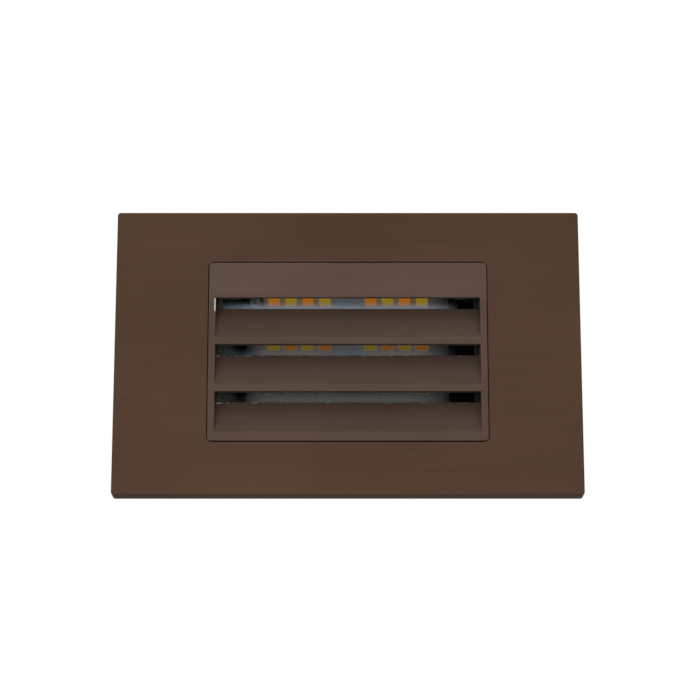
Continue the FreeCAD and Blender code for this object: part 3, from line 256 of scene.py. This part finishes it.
# satin bronze paint on die-cast aluminium: warm dark brown, with faint brushing left to right.
# brushLength and brushWidth are a stroke's size in millimetres, wider than the real 0.05 so it
# shows, and cloud is the size of the slow drift between the two colours
paints = {
    "plateBronzePaint": {"dark": "#513d30", "light": "#594537", "brushLength": 45.0,
                         "brushWidth": 0.55, "cloud": 24.0},
    # a little rosier and lighter than the plate
    "insertBronzePaint": {"dark": "#56463c", "light": "#5e4d43", "brushLength": 30.0,
                          "brushWidth": 0.45, "cloud": 15.0},
}
# what both paints share. The low, warm reflection keeps the undersides dark
paintCoat = {"metal": 0.25, "rough": 0.42, "roughSpread": 0.04, "specular": 0.1,
             "tint": "#b09a8c", "blendFrom": 0.7, "blendTo": 1.3, "bump": 0.3, "height": 0.01}


def bronzePaint(name, look):
    material, tree, shader = newMaterial(name, {
        "Metallic": paintCoat["metal"], "Roughness": paintCoat["rough"],
        "Specular IOR Level": paintCoat["specular"],
        "Specular Tint": linearColour(paintCoat["tint"])})
    strokes = addNode(tree, "ShaderNodeTexNoise", {
        "Vector": patternPlace(tree, [look["brushLength"], 1.0, look["brushWidth"]]),
        "Scale": 1.0, "Detail": 5.0, "Roughness": 0.65})
    cloud = addNode(tree, "ShaderNodeTexNoise", {
        "Vector": patternPlace(tree, [look["cloud"] * 2, look["cloud"], look["cloud"]]),
        "Scale": 1.0, "Detail": 2.0})
    mixed = addNode(tree, "ShaderNodeMath", {0: strokes.outputs["Fac"], 1: cloud.outputs["Fac"]},
                    operation="ADD")
    factor = addNode(tree, "ShaderNodeMapRange", {
        "Value": mixed.outputs[0], "From Min": paintCoat["blendFrom"],
        "From Max": paintCoat["blendTo"]})
    base = addNode(tree, "ShaderNodeMix", {
        "Factor": factor.outputs["Result"], "A": linearColour(look["dark"]),
        "B": linearColour(look["light"])}, data_type="RGBA")
    tree.links.new(base.outputs["Result"], shader.inputs["Base Color"])
    roughenSurface(tree, shader, strokes.outputs["Fac"], paintCoat["rough"],
                   paintCoat["roughSpread"], paintCoat["bump"], paintCoat["height"])
    return material, tree, shader, base


# where the insert's paint has chipped to bare metal: along the inner lips of the louvers below
# topZ, and at the left ends of the slots. Sizes in millimetres; cover is the noise that a chip
# starts from. The header band above the slots is mixed a little lighter, a painted highlight where
# it catches more light
chips = {"colour": "#b9bfbe", "grain": 0.4, "lipZ": -0.08, "pitch": 12.5, "lipHeight": 0.2,
         "lipY": -2.2, "topZ": 5.0, "cover": 0.6, "bandHighlightColour": "#8a7464",
         "band": (13.0, 16.0, 0.0, 0.12)}
# the larger chips: middle X, middle Z, half width and half height
largeChips = [(-34.3, 12.4, 0.18, 1.7), (-33.2, -12.6, 0.8, 0.3), (-33.6, -0.1, 0.4, 0.25)]


def chippedInsertPaint():
    material, tree, shader, base = bronzePaint("insertBronzePaint", paints["insertBronzePaint"])
    where = addNode(tree, "ShaderNodeTexCoord").outputs["Object"]
    axes = addNode(tree, "ShaderNodeSeparateXYZ", {"Vector": where})
    height = addNode(tree, "ShaderNodeMath", {
        0: axes.outputs["Z"], 1: (chips["lipZ"] - chips["pitch"] / 2) * mm}, operation="SUBTRACT")
    wrapped = addNode(tree, "ShaderNodeMath", {0: height.outputs[0], 1: chips["pitch"] * mm},
                      operation="FLOORED_MODULO")
    near = addNode(tree, "ShaderNodeMath", {
        0: wrapped.outputs[0], 1: chips["pitch"] / 2 * mm, 2: chips["lipHeight"] * mm},
        operation="COMPARE")
    deep = addNode(tree, "ShaderNodeMath", {0: axes.outputs["Y"], 1: chips["lipY"] * mm},
                   operation="GREATER_THAN")
    lower = addNode(tree, "ShaderNodeMath", {0: axes.outputs["Z"], 1: chips["topZ"] * mm},
                    operation="LESS_THAN")
    flecks = addNode(tree, "ShaderNodeTexNoise", {
        "Vector": patternPlace(tree, [chips["grain"] * 2, chips["grain"], chips["grain"]]),
        "Scale": 1.0, "Detail": 3.0, "Roughness": 0.7})
    bare = addNode(tree, "ShaderNodeMath", {0: flecks.outputs["Fac"], 1: chips["cover"]},
                   operation="GREATER_THAN")
    mask = bare.outputs[0]
    for part in (near, deep, lower):
        mask = addNode(tree, "ShaderNodeMath", {0: mask, 1: part.outputs[0]},
                       operation="MULTIPLY").outputs[0]
    for x, z, halfWide, halfTall in largeChips:
        besideX = addNode(tree, "ShaderNodeMath", {
            0: axes.outputs["X"], 1: x * mm, 2: halfWide * mm}, operation="COMPARE")
        besideZ = addNode(tree, "ShaderNodeMath", {
            0: axes.outputs["Z"], 1: z * mm, 2: halfTall * mm}, operation="COMPARE")
        mask = addNode(tree, "ShaderNodeMath", {
            0: besideX.outputs[0], 1: besideZ.outputs[0], 2: mask}, operation="MULTIPLY_ADD",
            use_clamp=True).outputs[0]
    # painted highlight: the header band is mixed lighter where it catches a little more light
    band = addNode(tree, "ShaderNodeMix", {
        "Factor": placeRamp(tree, "Z", *chips["band"]), "A": base.outputs["Result"],
        "B": linearColour(chips["bandHighlightColour"])}, data_type="RGBA")
    colour = addNode(tree, "ShaderNodeMix", {
        "Factor": mask, "A": band.outputs["Result"], "B": linearColour(chips["colour"])},
        data_type="RGBA")
    tree.links.new(colour.outputs["Result"], shader.inputs["Base Color"])
    return material


made["plateBronzePaint"] = bronzePaint("plateBronzePaint", paints["plateBronzePaint"])[0]
made["insertBronzePaint"] = chippedInsertPaint()

# clear polycarbonate with painted light: a bluish-white layer that thickens towards each louver's
# inner lip, where more light comes in, and is heaviest behind the top louver; a grey veil on its
# lower part is partly haze in the lens and partly painted shade. Places in millimetres; the veil's
# and film's third and fourth values go from one to the other
lensLook = {"paintedLightColour": "#ccd6ea", "veilColour": "#80857f", "rough": 0.15, "refraction": 1.58,
            "lip": 0.2, "pitch": 12.5, "band": 3.0, "fadePower": 2.2, "paintedLightLow": 0.05,
            "paintedLightHigh": 0.95, "rise": (-13.0, 12.5), "risePower": 3.4, "cloud": (6.0, 6.0, 3.0),
            "cloudThin": 0.8, "cloudThick": 1.15, "right": (20.0, 29.0, 1.0, 0.0),
            "left": (-38.0, -22.0, 0.0, 1.0), "veil": (-12.0, 0.5, 0.6, 0.05),
            "veilEnds": [(-18.0, -27.0, 1.0, 0.0), (16.0, 26.0, 1.0, 0.0)],
            "film": (-32.5, -28.5, 0.2, 0.0), "filmRise": (2.0, 9.0, 1.0, 0.2)}


def paintedLightPolycarbonate(look):
    material, tree, shader = newMaterial("paintedLightPolycarbonate", {
        "Roughness": look["rough"], "IOR": look["refraction"]})
    axes = addNode(tree, "ShaderNodeSeparateXYZ",
                   {"Vector": addNode(tree, "ShaderNodeTexCoord").outputs["Object"]})
    # painted light: a bluish-white layer, thickest at each louver's inner lip where light comes
    # in, heaviest behind the top louver, and thinning towards the ends
    above = addNode(tree, "ShaderNodeMath", {0: axes.outputs["Z"], 1: look["lip"] * mm},
                    operation="SUBTRACT")
    inCell = addNode(tree, "ShaderNodeMath", {0: above.outputs[0], 1: look["pitch"] * mm},
                     operation="FLOORED_MODULO")
    fade = addNode(tree, "ShaderNodeMapRange", {
        "Value": inCell.outputs[0], "From Max": look["band"] * mm, "To Min": 1.0, "To Max": 0.0})
    soft = addNode(tree, "ShaderNodeMath", {0: fade.outputs["Result"], 1: look["fadePower"]},
                   operation="POWER")
    rise = addNode(tree, "ShaderNodeMath", {
        0: placeRamp(tree, "Z", *look["rise"], 0.0, 1.0), 1: look["risePower"]},
        operation="POWER")
    depth = addNode(tree, "ShaderNodeMapRange", {
        "Value": rise.outputs[0], "To Min": look["paintedLightLow"], "To Max": look["paintedLightHigh"]})
    cloud = addNode(tree, "ShaderNodeTexNoise", {
        "Vector": patternPlace(tree, look["cloud"]), "Scale": 1.0, "Detail": 3.0})
    paintedLight = addNode(tree, "ShaderNodeMapRange", {
        "Value": cloud.outputs["Fac"], "From Min": noiseSwing[0], "From Max": noiseSwing[1],
        "To Min": look["cloudThin"], "To Max": look["cloudThick"]}).outputs["Result"]
    for part in (soft.outputs[0], depth.outputs["Result"],
                 placeRamp(tree, "X", *look["right"]), placeRamp(tree, "X", *look["left"])):
        paintedLight = addNode(tree, "ShaderNodeMath", {0: paintedLight, 1: part},
                        operation="MULTIPLY").outputs[0]
    # painted shade: a grey veil, thickest low down, greys the lower rows; it stands partly for
    # haze in the lens and partly for the shade there
    veil = placeRamp(tree, "Z", *look["veil"])
    for end in look["veilEnds"]:
        veil = addNode(tree, "ShaderNodeMath", {0: veil, 1: placeRamp(tree, "X", *end)},
                       operation="MULTIPLY").outputs[0]
    # the veil also thickens at the left end, less so behind the top louver
    veil = addNode(tree, "ShaderNodeMath", {
        0: placeRamp(tree, "X", *look["film"]), 1: placeRamp(tree, "Z", *look["filmRise"]),
        2: veil}, operation="MULTIPLY_ADD").outputs[0]
    alpha = addNode(tree, "ShaderNodeMath", {0: paintedLight, 1: veil}, operation="ADD", use_clamp=True)
    tree.links.new(alpha.outputs[0], shader.inputs["Alpha"])
    share = addNode(tree, "ShaderNodeMath", {0: paintedLight, 1: alpha.outputs[0]}, operation="DIVIDE")
    colour = addNode(tree, "ShaderNodeMix", {
        "Factor": share.outputs[0], "A": linearColour(look["veilColour"]),
        "B": linearColour(look["paintedLightColour"])}, data_type="RGBA")
    tree.links.new(colour.outputs["Result"], shader.inputs["Base Color"])
    return material


made["paintedLightPolycarbonate"] = paintedLightPolycarbonate(lensLook)
print("stage: finishes made")


# ---- shaping

# in metres: coordinates this close are equal, and vertices this close are one
hair, weld = 1e-6, 1e-7
# edges turn sharp from this angle in degrees, and strips up to this width in millimetres are
# shaded smooth
shading = {"sharpAngle": 30, "stripWidth": 1.2}
# in radians: edges of a built piece that turn more than this are rounded
cornerAngle = 1


def isNarrow(mesh, polygon):
    # curved skin is made of strips and small quads; large faces are flat and shaded flat
    spots = [mesh.vertices[i].co for i in polygon.vertices]
    shortest = min((a - b).length for a, b in zip(spots, spots[1:] + spots[:1]))
    return len(spots) <= 4 and shortest < shading["stripWidth"] * mm


def toMesh(bm, name, materials, body, nodes):
    bmesh.ops.remove_doubles(bm, verts=bm.verts, dist=weld)
    bmesh.ops.recalc_face_normals(bm, faces=bm.faces)
    mesh = bpy.data.meshes.new(name)
    bm.to_mesh(mesh)
    bm.free()
    for material in materials:
        mesh.materials.append(made[material])
    mesh.set_sharp_from_angle(angle=math.radians(shading["sharpAngle"]))
    mesh.polygons.foreach_set("use_smooth", [isNarrow(mesh, face) for face in mesh.polygons])
    piece = bpy.data.objects.new(name, mesh)
    bpy.context.scene.collection.objects.link(piece)
    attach(piece, body)
    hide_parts(*nodes)


def bevelEdges(bm, wanted, offset, segments=3):
    edges = [edge for edge in bm.edges if wanted(edge)]
    bmesh.ops.bevel(bm, geom=edges, offset=offset * mm, segments=segments, profile=0.5,
                    affect="EDGES", material=-1, clamp_overlap=True)


def flattenFront(bm, front):
    # a rounded corner can rise a hair past the flat front
    for vert in bm.verts:
        vert.co.y = max(vert.co.y, front * mm)


def alongY(edge):
    a, b = (v.co for v in edge.verts)
    return abs(a.x - b.x) < hair and abs(a.z - b.z) < hair


def atY(edge, y):
    return all(abs(v.co.y - y * mm) < hair for v in edge.verts)


def cornerAtY(edge, y):
    return atY(edge, y) and edge.calc_face_angle(0) > cornerAngle


def alongYBeyond(edge, x):
    return alongY(edge) and abs(edge.verts[0].co.x) > x * mm


def rectangularTube(bm, sections):
    # sections are (half width, half height, y, middle z) in millimetres, and the last one is
    # joined to the first
    turn = Matrix.Rotation(math.radians(90), 4, "X") @ Matrix.Rotation(math.radians(45), 4, "Z")
    loop = bmesh.ops.create_circle(bm, segments=4, radius=math.sqrt(2), matrix=turn)["verts"]
    edges = list({edge for vert in loop for edge in vert.link_edges})
    halfX, halfZ, depth, middle = 1 / mm, 1 / mm, 0.0, 0.0
    for i, (nextX, nextZ, nextDepth, nextMiddle) in enumerate(sections + sections[:1]):
        if i:
            grown = bmesh.ops.extrude_edge_only(bm, edges=edges)["geom"]
            loop = [item for item in grown if isinstance(item, bmesh.types.BMVert)]
            inLoop = set(loop)
            edges = [item for item in grown if isinstance(item, bmesh.types.BMEdge)
                     and all(vert in inLoop for vert in item.verts)]
        bmesh.ops.translate(bm, vec=(0, -depth * mm, -middle * mm), verts=loop)
        bmesh.ops.scale(bm, vec=(nextX / halfX, 1, nextZ / halfZ), verts=loop)
        bmesh.ops.translate(bm, vec=(0, nextDepth * mm, nextMiddle * mm), verts=loop)
        halfX, halfZ, depth, middle = nextX, nextZ, nextDepth, nextMiddle
    bmesh.ops.remove_doubles(bm, verts=bm.verts, dist=weld)


def prism(bm, profile, halfWidth):
    # a closed outline of (y, z) points in millimetres, drawn out along X to both sides
    verts = [bm.verts.new((-halfWidth * mm, y * mm, z * mm)) for y, z in profile]
    face = bm.faces.new(verts)
    grown = bmesh.ops.extrude_face_region(bm, geom=[face])["geom"]
    moved = [item for item in grown if isinstance(item, bmesh.types.BMVert)]
    bmesh.ops.translate(bm, vec=(2 * halfWidth * mm, 0, 0), verts=moved)


def cornerPosts(bm, radius, x, z, start, end):
    # four round posts along Y, at plus and minus x and z
    for signX in (-1, 1):
        for signZ in (-1, 1):
            middle = Vector((signX * x, (start + end) / 2, signZ * z)) * mm
            turn = Matrix.Translation(middle) @ Matrix.Rotation(math.radians(90), 4, "X")
            bmesh.ops.create_cone(bm, cap_ends=True, segments=32, radius1=radius * mm,
                                  radius2=radius * mm, depth=(end - start) * mm, matrix=turn)


# ---- faceplate

plateSizes = {
    # windowClear is how far past the window an edge counts as the plate's outer one
    "halfWidth": 60.0, "halfHeight": 37.5, "front": -5.3, "skin": 1.8, "rim": 1.8,
    "windowHalfWidth": 36.1, "windowHalfHeight": 23.95, "windowMiddle": 0.15, "windowClear": 1.0,
    "corner": 0.8, "frontRound": 1.0, "backRound": 0.15, "windowCorner": 1.5,
    "windowRound": 0.3, "postX": 46.5, "postZ": 18.0, "postRadius": 1.5, "postTip": -0.3,
    "postSink": 0.3, "postRound": 0.35,
}


def buildFaceplate(sizes):
    bm = bmesh.new()
    halfX, halfZ, front = sizes["halfWidth"], sizes["halfHeight"], sizes["front"]
    back = front + sizes["skin"]
    windowX, windowZ = sizes["windowHalfWidth"], sizes["windowHalfHeight"]
    rimX, rimZ = halfX - sizes["rim"], halfZ - sizes["rim"]
    middle = sizes["windowMiddle"]
    rectangularTube(bm, [
        (halfX, halfZ, 0, 0), (halfX, halfZ, front, 0), (windowX, windowZ, front, middle),
        (windowX, windowZ, back, middle), (rimX, rimZ, back, 0), (rimX, rimZ, 0, 0)])
    bevelEdges(bm, lambda e: alongYBeyond(e, rimX + sizes["rim"] / 2), sizes["corner"],
               segments=5)
    bevelEdges(bm, lambda e: alongY(e) and abs(abs(e.verts[0].co.x) - windowX * mm) < hair,
               sizes["windowCorner"], segments=6)

    def outerFront(edge):
        reachX, reachZ = (max(abs(v.co[axis]) for v in edge.verts) for axis in (0, 2))
        return cornerAtY(edge, front) and (reachX > (windowX + sizes["windowClear"]) * mm
                                           or reachZ > (windowZ + sizes["windowClear"]) * mm)

    bevelEdges(bm, outerFront, sizes["frontRound"], segments=6)
    bevelEdges(bm, lambda e: cornerAtY(e, front), sizes["windowRound"])
    bevelEdges(bm, lambda e: cornerAtY(e, 0), sizes["backRound"], segments=2)
    flattenFront(bm, front)
    cornerPosts(bm, sizes["postRadius"], sizes["postX"], sizes["postZ"],
                back - sizes["postSink"], sizes["postTip"])
    bevelEdges(bm, lambda e: cornerAtY(e, sizes["postTip"]), sizes["postRound"])
    toMesh(bm, "facePlate", ["plateBronzePaint"], "cover_plate", ["faceplate"])


buildFaceplate(plateSizes)
print("stage: faceplate built")


# ---- louver insert

insertSizes = {
    "halfWidth": 35.9, "halfHeight": 23.66, "middle": 0.1, "front": -5.7, "back": -1.2,
    "corner": 1.0, "frontRound": 0.6, "slotRound": 0.22,
    # front edges past these two are the insert's outer ones
    "outerX": 34.5, "outerZ": 22.5,
    "slotHalfWidth": 34.1, "headerBottom": 14.4, "railTop": -21.1, "headerThick": 3.0,
    "headerLip": 1.2, "rebateTop": 16.0, "hollowTop": 22.05,
    # cell is from the header's lower edge down to the first louver's face; setBack keeps that
    # face off the frame's own front, and overlap is how far the louver's ends go into the sides
    "louvers": 3, "pitch": 12.5, "cell": 10.5, "face": 2.0, "run": 4.3, "rise": 8.6, "tip": 1.3,
    "foot": 1.7, "lipRound": 0.18, "setBack": 0.02, "overlap": 0.3,
    "bossX": 31.75, "bossZ": 19.7, "bossRadius": 2.6, "bossStart": 2.5,
}


def buildLouverInsert(sizes):
    bm = bmesh.new()
    halfX, halfZ = sizes["halfWidth"], sizes["halfHeight"]
    front, back, middle = sizes["front"], sizes["back"], sizes["middle"]
    slotX = sizes["slotHalfWidth"]
    lip, step = front + sizes["headerLip"], front + sizes["headerThick"]
    rectangularTube(bm, [(halfX, halfZ, back, middle), (halfX, halfZ, front, middle)] + [
        (slotX, (sizes[top] - sizes["railTop"]) / 2, y, (sizes[top] + sizes["railTop"]) / 2)
        for top, y in (("headerBottom", front), ("headerBottom", lip), ("rebateTop", lip),
                       ("rebateTop", step), ("hollowTop", step), ("hollowTop", back))])
    bevelEdges(bm, lambda e: alongYBeyond(e, (slotX + halfX) / 2), sizes["corner"],
               segments=5)

    def outerFront(edge):
        reachX = [abs(v.co.x) for v in edge.verts]
        reachZ = max(abs(v.co.z) for v in edge.verts)
        return cornerAtY(edge, front) and max(reachX) > sizes["outerX"] * mm and (
            min(reachX) > sizes["outerX"] * mm or reachZ > sizes["outerZ"] * mm)

    bevelEdges(bm, outerFront, sizes["frontRound"], segments=5)
    bevelEdges(bm, lambda e: cornerAtY(e, front), sizes["slotRound"])
    flattenFront(bm, front)
    for i in range(sizes["louvers"]):
        top = sizes["headerBottom"] - sizes["cell"] - i * sizes["pitch"]
        low = top - sizes["face"]
        tipZ = top + sizes["rise"]
        louver = bmesh.new()
        prism(louver, [
            (front + sizes["setBack"], low), (front + sizes["foot"], low),
            (front + sizes["run"] + sizes["tip"], tipZ), (front + sizes["run"], tipZ),
            (front + sizes["setBack"], top)], slotX + sizes["overlap"])
        bmesh.ops.recalc_face_normals(louver, faces=louver.faces)
        bevelEdges(louver, lambda e: abs(e.verts[0].co.x - e.verts[1].co.x) > slotX * mm,
                   sizes["lipRound"], segments=4)
        mesh = bpy.data.meshes.new("louver")
        louver.to_mesh(mesh)
        louver.free()
        bm.from_mesh(mesh)
        bpy.data.meshes.remove(mesh)
    cornerPosts(bm, sizes["bossRadius"], sizes["bossX"], sizes["bossZ"],
                front + sizes["bossStart"], back)
    toMesh(bm, "louverInsert", ["insertBronzePaint"], "light",
           ["louver_insert"])


buildLouverInsert(insertSizes)
print("stage: louver insert built")


# ---- LEDs

ledSizes = {
    # columns counts the LEDs of a row on each side of the middle
    "width": 3.5, "height": 2.8, "thick": 0.7, "boardFront": 11.4, "firstX": 6.05, "pitchX": 4.5,
    "pitchZ": 11.9, "drop": 0.15, "columns": 4, "rows": 4, "wall": 0.24, "cupSlope": 0.16,
    "cupDepth": 0.12,
}


def buildLed(bm, sizes, x, z):
    middle = Vector((x, sizes["boardFront"] - sizes["thick"] / 2, z)) * mm
    extent = Vector((sizes["width"], sizes["thick"], sizes["height"])) * mm
    place = Matrix.Translation(middle) @ Matrix.Diagonal(extent).to_4x4()
    verts = bmesh.ops.create_cube(bm, size=1.0, matrix=place)["verts"]
    faces = {face for vert in verts for face in vert.link_faces}
    front = min(faces, key=lambda face: face.calc_center_median().y)
    bmesh.ops.inset_individual(bm, faces=[front], thickness=sizes["wall"] * mm, depth=0)
    bmesh.ops.inset_individual(bm, faces=[front], thickness=sizes["cupSlope"] * mm,
                               depth=-sizes["cupDepth"] * mm)
    # the package is material 0, the phosphor 1 and the cup's walls 2
    for edge in front.edges:
        for face in edge.link_faces:
            face.material_index = 2
    front.material_index = 1


def buildLeds(sizes):
    # warm and cool ones alternate along each row and from row to row
    meshes = [bmesh.new(), bmesh.new()]
    rightSide = [sizes["firstX"] + i * sizes["pitchX"] for i in range(sizes["columns"])]
    for row in range(sizes["rows"]):
        z = sizes["pitchZ"] * ((sizes["rows"] - 1) / 2 - row) - sizes["drop"]
        for column, x in enumerate([-x for x in reversed(rightSide)] + rightSide):
            buildLed(meshes[(row + column) % 2], sizes, x, z)
    toMesh(meshes[0], "warmLeds", ["ledPackageWhite", "warmPhosphor", "warmCupWall"], "light",
           ["warm_leds"])
    toMesh(meshes[1], "coolLeds", ["ledPackageWhite", "coolPhosphor", "coolCupWall"], "light",
           ["cool_leds"])


buildLeds(ledSizes)
print("stage: LEDs built")


# ---- the other pieces keep their CAD solids' shapes, with their edges broken

dressed = {
    # node: finish, edge rounding in millimetres
    "wall_gasket": ("foamBlack", 0.25), "mounting_yoke": ("blackPassivatedZinc", 0.12),
    "snap_bushes": ("naturalNylon", 0.12), "box_screws": ("brightZincScrew", 0.1),
    "clamp_screws": ("brightZincScrew", 0.1), "lens_gasket": ("greySilicone", 0.1),
    "lens": ("paintedLightPolycarbonate", 0.12), "chamber_liner": ("blackMouldedLiner", 0.15),
    "led_board": ("whiteSolderMask", 0.08), "board_screws": ("brightZincScrew", 0.08),
    "thermal_pad": ("greyGapPad", 0.05), "housing": ("blastedAluminium", 0.25),
    "link_pins": ("tinnedBrass", 0.08), "pin_insulator": ("naturalNylon", 0.1),
    "insulating_sheet": ("fibreSheet", 0.05), "driver_board": ("greenSolderMask", 0.06),
    "driver_screws": ("brightZincScrew", 0.08), "transformer_core": ("sinteredFerrite", 0.2),
    "transformer_winding": ("polyesterTape", 0.15), "transformer_base": ("naturalNylon", 0.15),
    "bulk_capacitors": ("shrinkSleeve", 0.25), "film_capacitor": ("filmCapacitorCase", 0.3),
    "output_capacitor": ("shrinkSleeve", 0.2), "bridge_rectifier": ("blackEpoxy", 0.15),
    "driver_chip": ("blackEpoxy", 0.05), "choke_core": ("sinteredFerrite", 0.2),
    "choke_winding": ("enamelledCopper", 0.2), "varistor": ("blueDippedEpoxy", 0.4),
    "fuse_resistor": ("paleLacquer", 0.4), "terminal_block": ("terminalNylon", 0.2),
    "selector_body": ("blackEpoxy", 0.1), "selector_slider": ("whiteAcetal", 0.1),
    "cover_gasket": ("greySilicone", 0.1), "rear_cover": ("blastedAluminium", 0.15),
    "cover_screws": ("brightZincScrew", 0.12), "lead_bush": ("blackRubber", 0.3),
    "ground_screw": ("groundGreenLacquer", 0.12),
}
bodyOf = {node: body for body, nodes in frame["record"]["behaviour"]["bodies"].items()
          for node in nodes}


# the box screws' thread, as rings
threadSizes = {"screwX": 41.67, "radius": 1.75, "depth": 0.4, "pitch": 0.79, "start": 0.6,
               "end": 19.6}
# angles in degrees: faces that meet flatter than flat are joined, and edges sharper than sharp
# are rounded. weld is in metres
breaking = {"weld": 2e-6, "flat": 1, "sharp": 40}


def cutThread(bm, sizes):
    half = sizes["pitch"] / 2
    rings = int((sizes["end"] - sizes["start"]) / half)
    for i in range(rings + 1):
        bmesh.ops.bisect_plane(bm, geom=bm.verts[:] + bm.edges[:] + bm.faces[:],
                               plane_co=(0, (sizes["start"] + i * half) * mm, 0),
                               plane_no=(0, 1, 0))
    root = 1 - sizes["depth"] / sizes["radius"]
    for vert in bm.verts:
        i = round((vert.co.y / mm - sizes["start"]) / half)
        if 0 <= i <= rings and i % 2:
            middle = math.copysign(sizes["screwX"], vert.co.x) * mm
            vert.co.x = middle + (vert.co.x - middle) * root
            vert.co.z *= root


def breakEdges(node, finish, rounding):
    bm = bmesh.new()
    bm.from_mesh(frame["nodes"][node].data)
    bmesh.ops.remove_doubles(bm, verts=bm.verts, dist=breaking["weld"])
    bmesh.ops.dissolve_limit(bm, angle_limit=math.radians(breaking["flat"]), verts=bm.verts,
                             edges=bm.edges)
    bevelEdges(bm, lambda e: e.calc_face_angle(0) > math.radians(breaking["sharp"]), rounding,
               segments=2)
    if node == "box_screws":
        cutThread(bm, threadSizes)
    words = node.split("_")
    name = words[0] + "".join(word.capitalize() for word in words[1:])
    for face in bm.faces:
        face.material_index = 0
    toMesh(bm, name + "Dressed", [finish], bodyOf[node], [node])


for node, (finish, rounding) in dressed.items():
    breakEdges(node, finish, rounding)
print("stage: other pieces dressed")


# ---- floor, light and camera

# in metres. ambient is the white world's strength as light, and floorLift what the camera alone
# sees added to the floor, so that it goes to white and keeps its shadow
stageSizes = {"floorDrop": -0.7, "floorSize": 60.0, "ambient": 0.45, "floorLift": 0.75}
lightSizes = {
    # name: place and size in metres, watts. Each one aims at the origin
    "keySoftbox": ((-0.3, -1.3, -0.35), 1.0, 8.5),
    "fillSoftbox": ((0.7, -1.1, 0.5), 1.2, 1.5),
    "backSoftbox": ((0.5, 1.3, 0.6), 1.2, 6.0),
}
# tilt in degrees, distance in metres from the middle of the plate's front, lens and sensor in
# millimetres
cameraFit = {"tilt": 14.92, "distance": 0.6203, "lens": 124.18, "sensor": 36.0,
             "shiftX": 0.0031, "shiftY": 0.0021, "clipStart": 0.01}


def whiteWhereSeen(tree, ambient):
    # white to the camera, to reflections and through clear parts; otherwise the ambient level
    rays = addNode(tree, "ShaderNodeLightPath")
    seen = addNode(tree, "ShaderNodeMath", {
        0: rays.outputs["Is Camera Ray"], 1: rays.outputs["Is Transmission Ray"]},
        operation="MAXIMUM")
    seen = addNode(tree, "ShaderNodeMath", {0: seen.outputs[0], 1: rays.outputs["Is Glossy Ray"]},
                   operation="MAXIMUM")
    return addNode(tree, "ShaderNodeMapRange", {"Value": seen.outputs[0], "To Min": ambient,
                                                "To Max": 1.0}).outputs["Result"]


def buildStage():
    world = bpy.data.worlds.new("studio")
    bpy.context.scene.world = world
    world.use_nodes = True
    tree = world.node_tree
    background = tree.nodes["Background"]
    background.inputs["Color"].default_value = (1, 1, 1, 1)
    tree.links.new(whiteWhereSeen(tree, stageSizes["ambient"]), background.inputs["Strength"])
    bm = bmesh.new()
    bmesh.ops.create_grid(bm, x_segments=1, y_segments=1, size=stageSizes["floorSize"] / 2,
                          matrix=Matrix.Translation((0, 0, stageSizes["floorDrop"])))
    mesh = bpy.data.meshes.new("floor")
    bm.to_mesh(mesh)
    bm.free()
    floor = bpy.data.objects.new("floor", mesh)
    bpy.context.scene.collection.objects.link(floor)
    paint, tree, shader = newMaterial("paleFloor", {
        "Base Color": linearColour("#c8c8c8"), "Roughness": 0.9, "Specular IOR Level": 0.0,
        "Emission Color": (1, 1, 1, 1)})
    rays = addNode(tree, "ShaderNodeLightPath")
    lift = addNode(tree, "ShaderNodeMath", {
        0: rays.outputs["Is Camera Ray"], 1: stageSizes["floorLift"]}, operation="MULTIPLY")
    tree.links.new(lift.outputs[0], shader.inputs["Emission Strength"])
    mesh.materials.append(paint)


def buildLights():
    for name, (place, size, watts) in lightSizes.items():
        light = bpy.data.lights.new(name, "AREA")
        light.energy, light.size, light.shape = watts, size, "SQUARE"
        lamp = bpy.data.objects.new(name, light)
        lamp.location = place
        lamp.rotation_euler = (-Vector(place)).to_track_quat("-Z", "Y").to_euler()
        lamp.visible_camera = False
        bpy.context.scene.collection.objects.link(lamp)


def buildCamera(fit):
    camera = bpy.data.cameras.new("camera")
    camera.lens, camera.sensor_width = fit["lens"], fit["sensor"]
    camera.shift_x, camera.shift_y = fit["shiftX"], fit["shiftY"]
    camera.clip_start = fit["clipStart"]
    eye = bpy.data.objects.new("camera", camera)
    tilt = math.radians(fit["tilt"])
    eye.location = (0, plateSizes["front"] * mm - fit["distance"] * math.cos(tilt),
                    -fit["distance"] * math.sin(tilt))
    eye.rotation_euler = (math.pi / 2 + tilt, 0, 0)
    bpy.context.scene.collection.objects.link(eye)
    bpy.context.scene.camera = eye


buildStage()
buildLights()
buildCamera(cameraFit)
bpy.context.scene.view_settings.view_transform = "Standard"
print("stage: floor, lights and camera set")
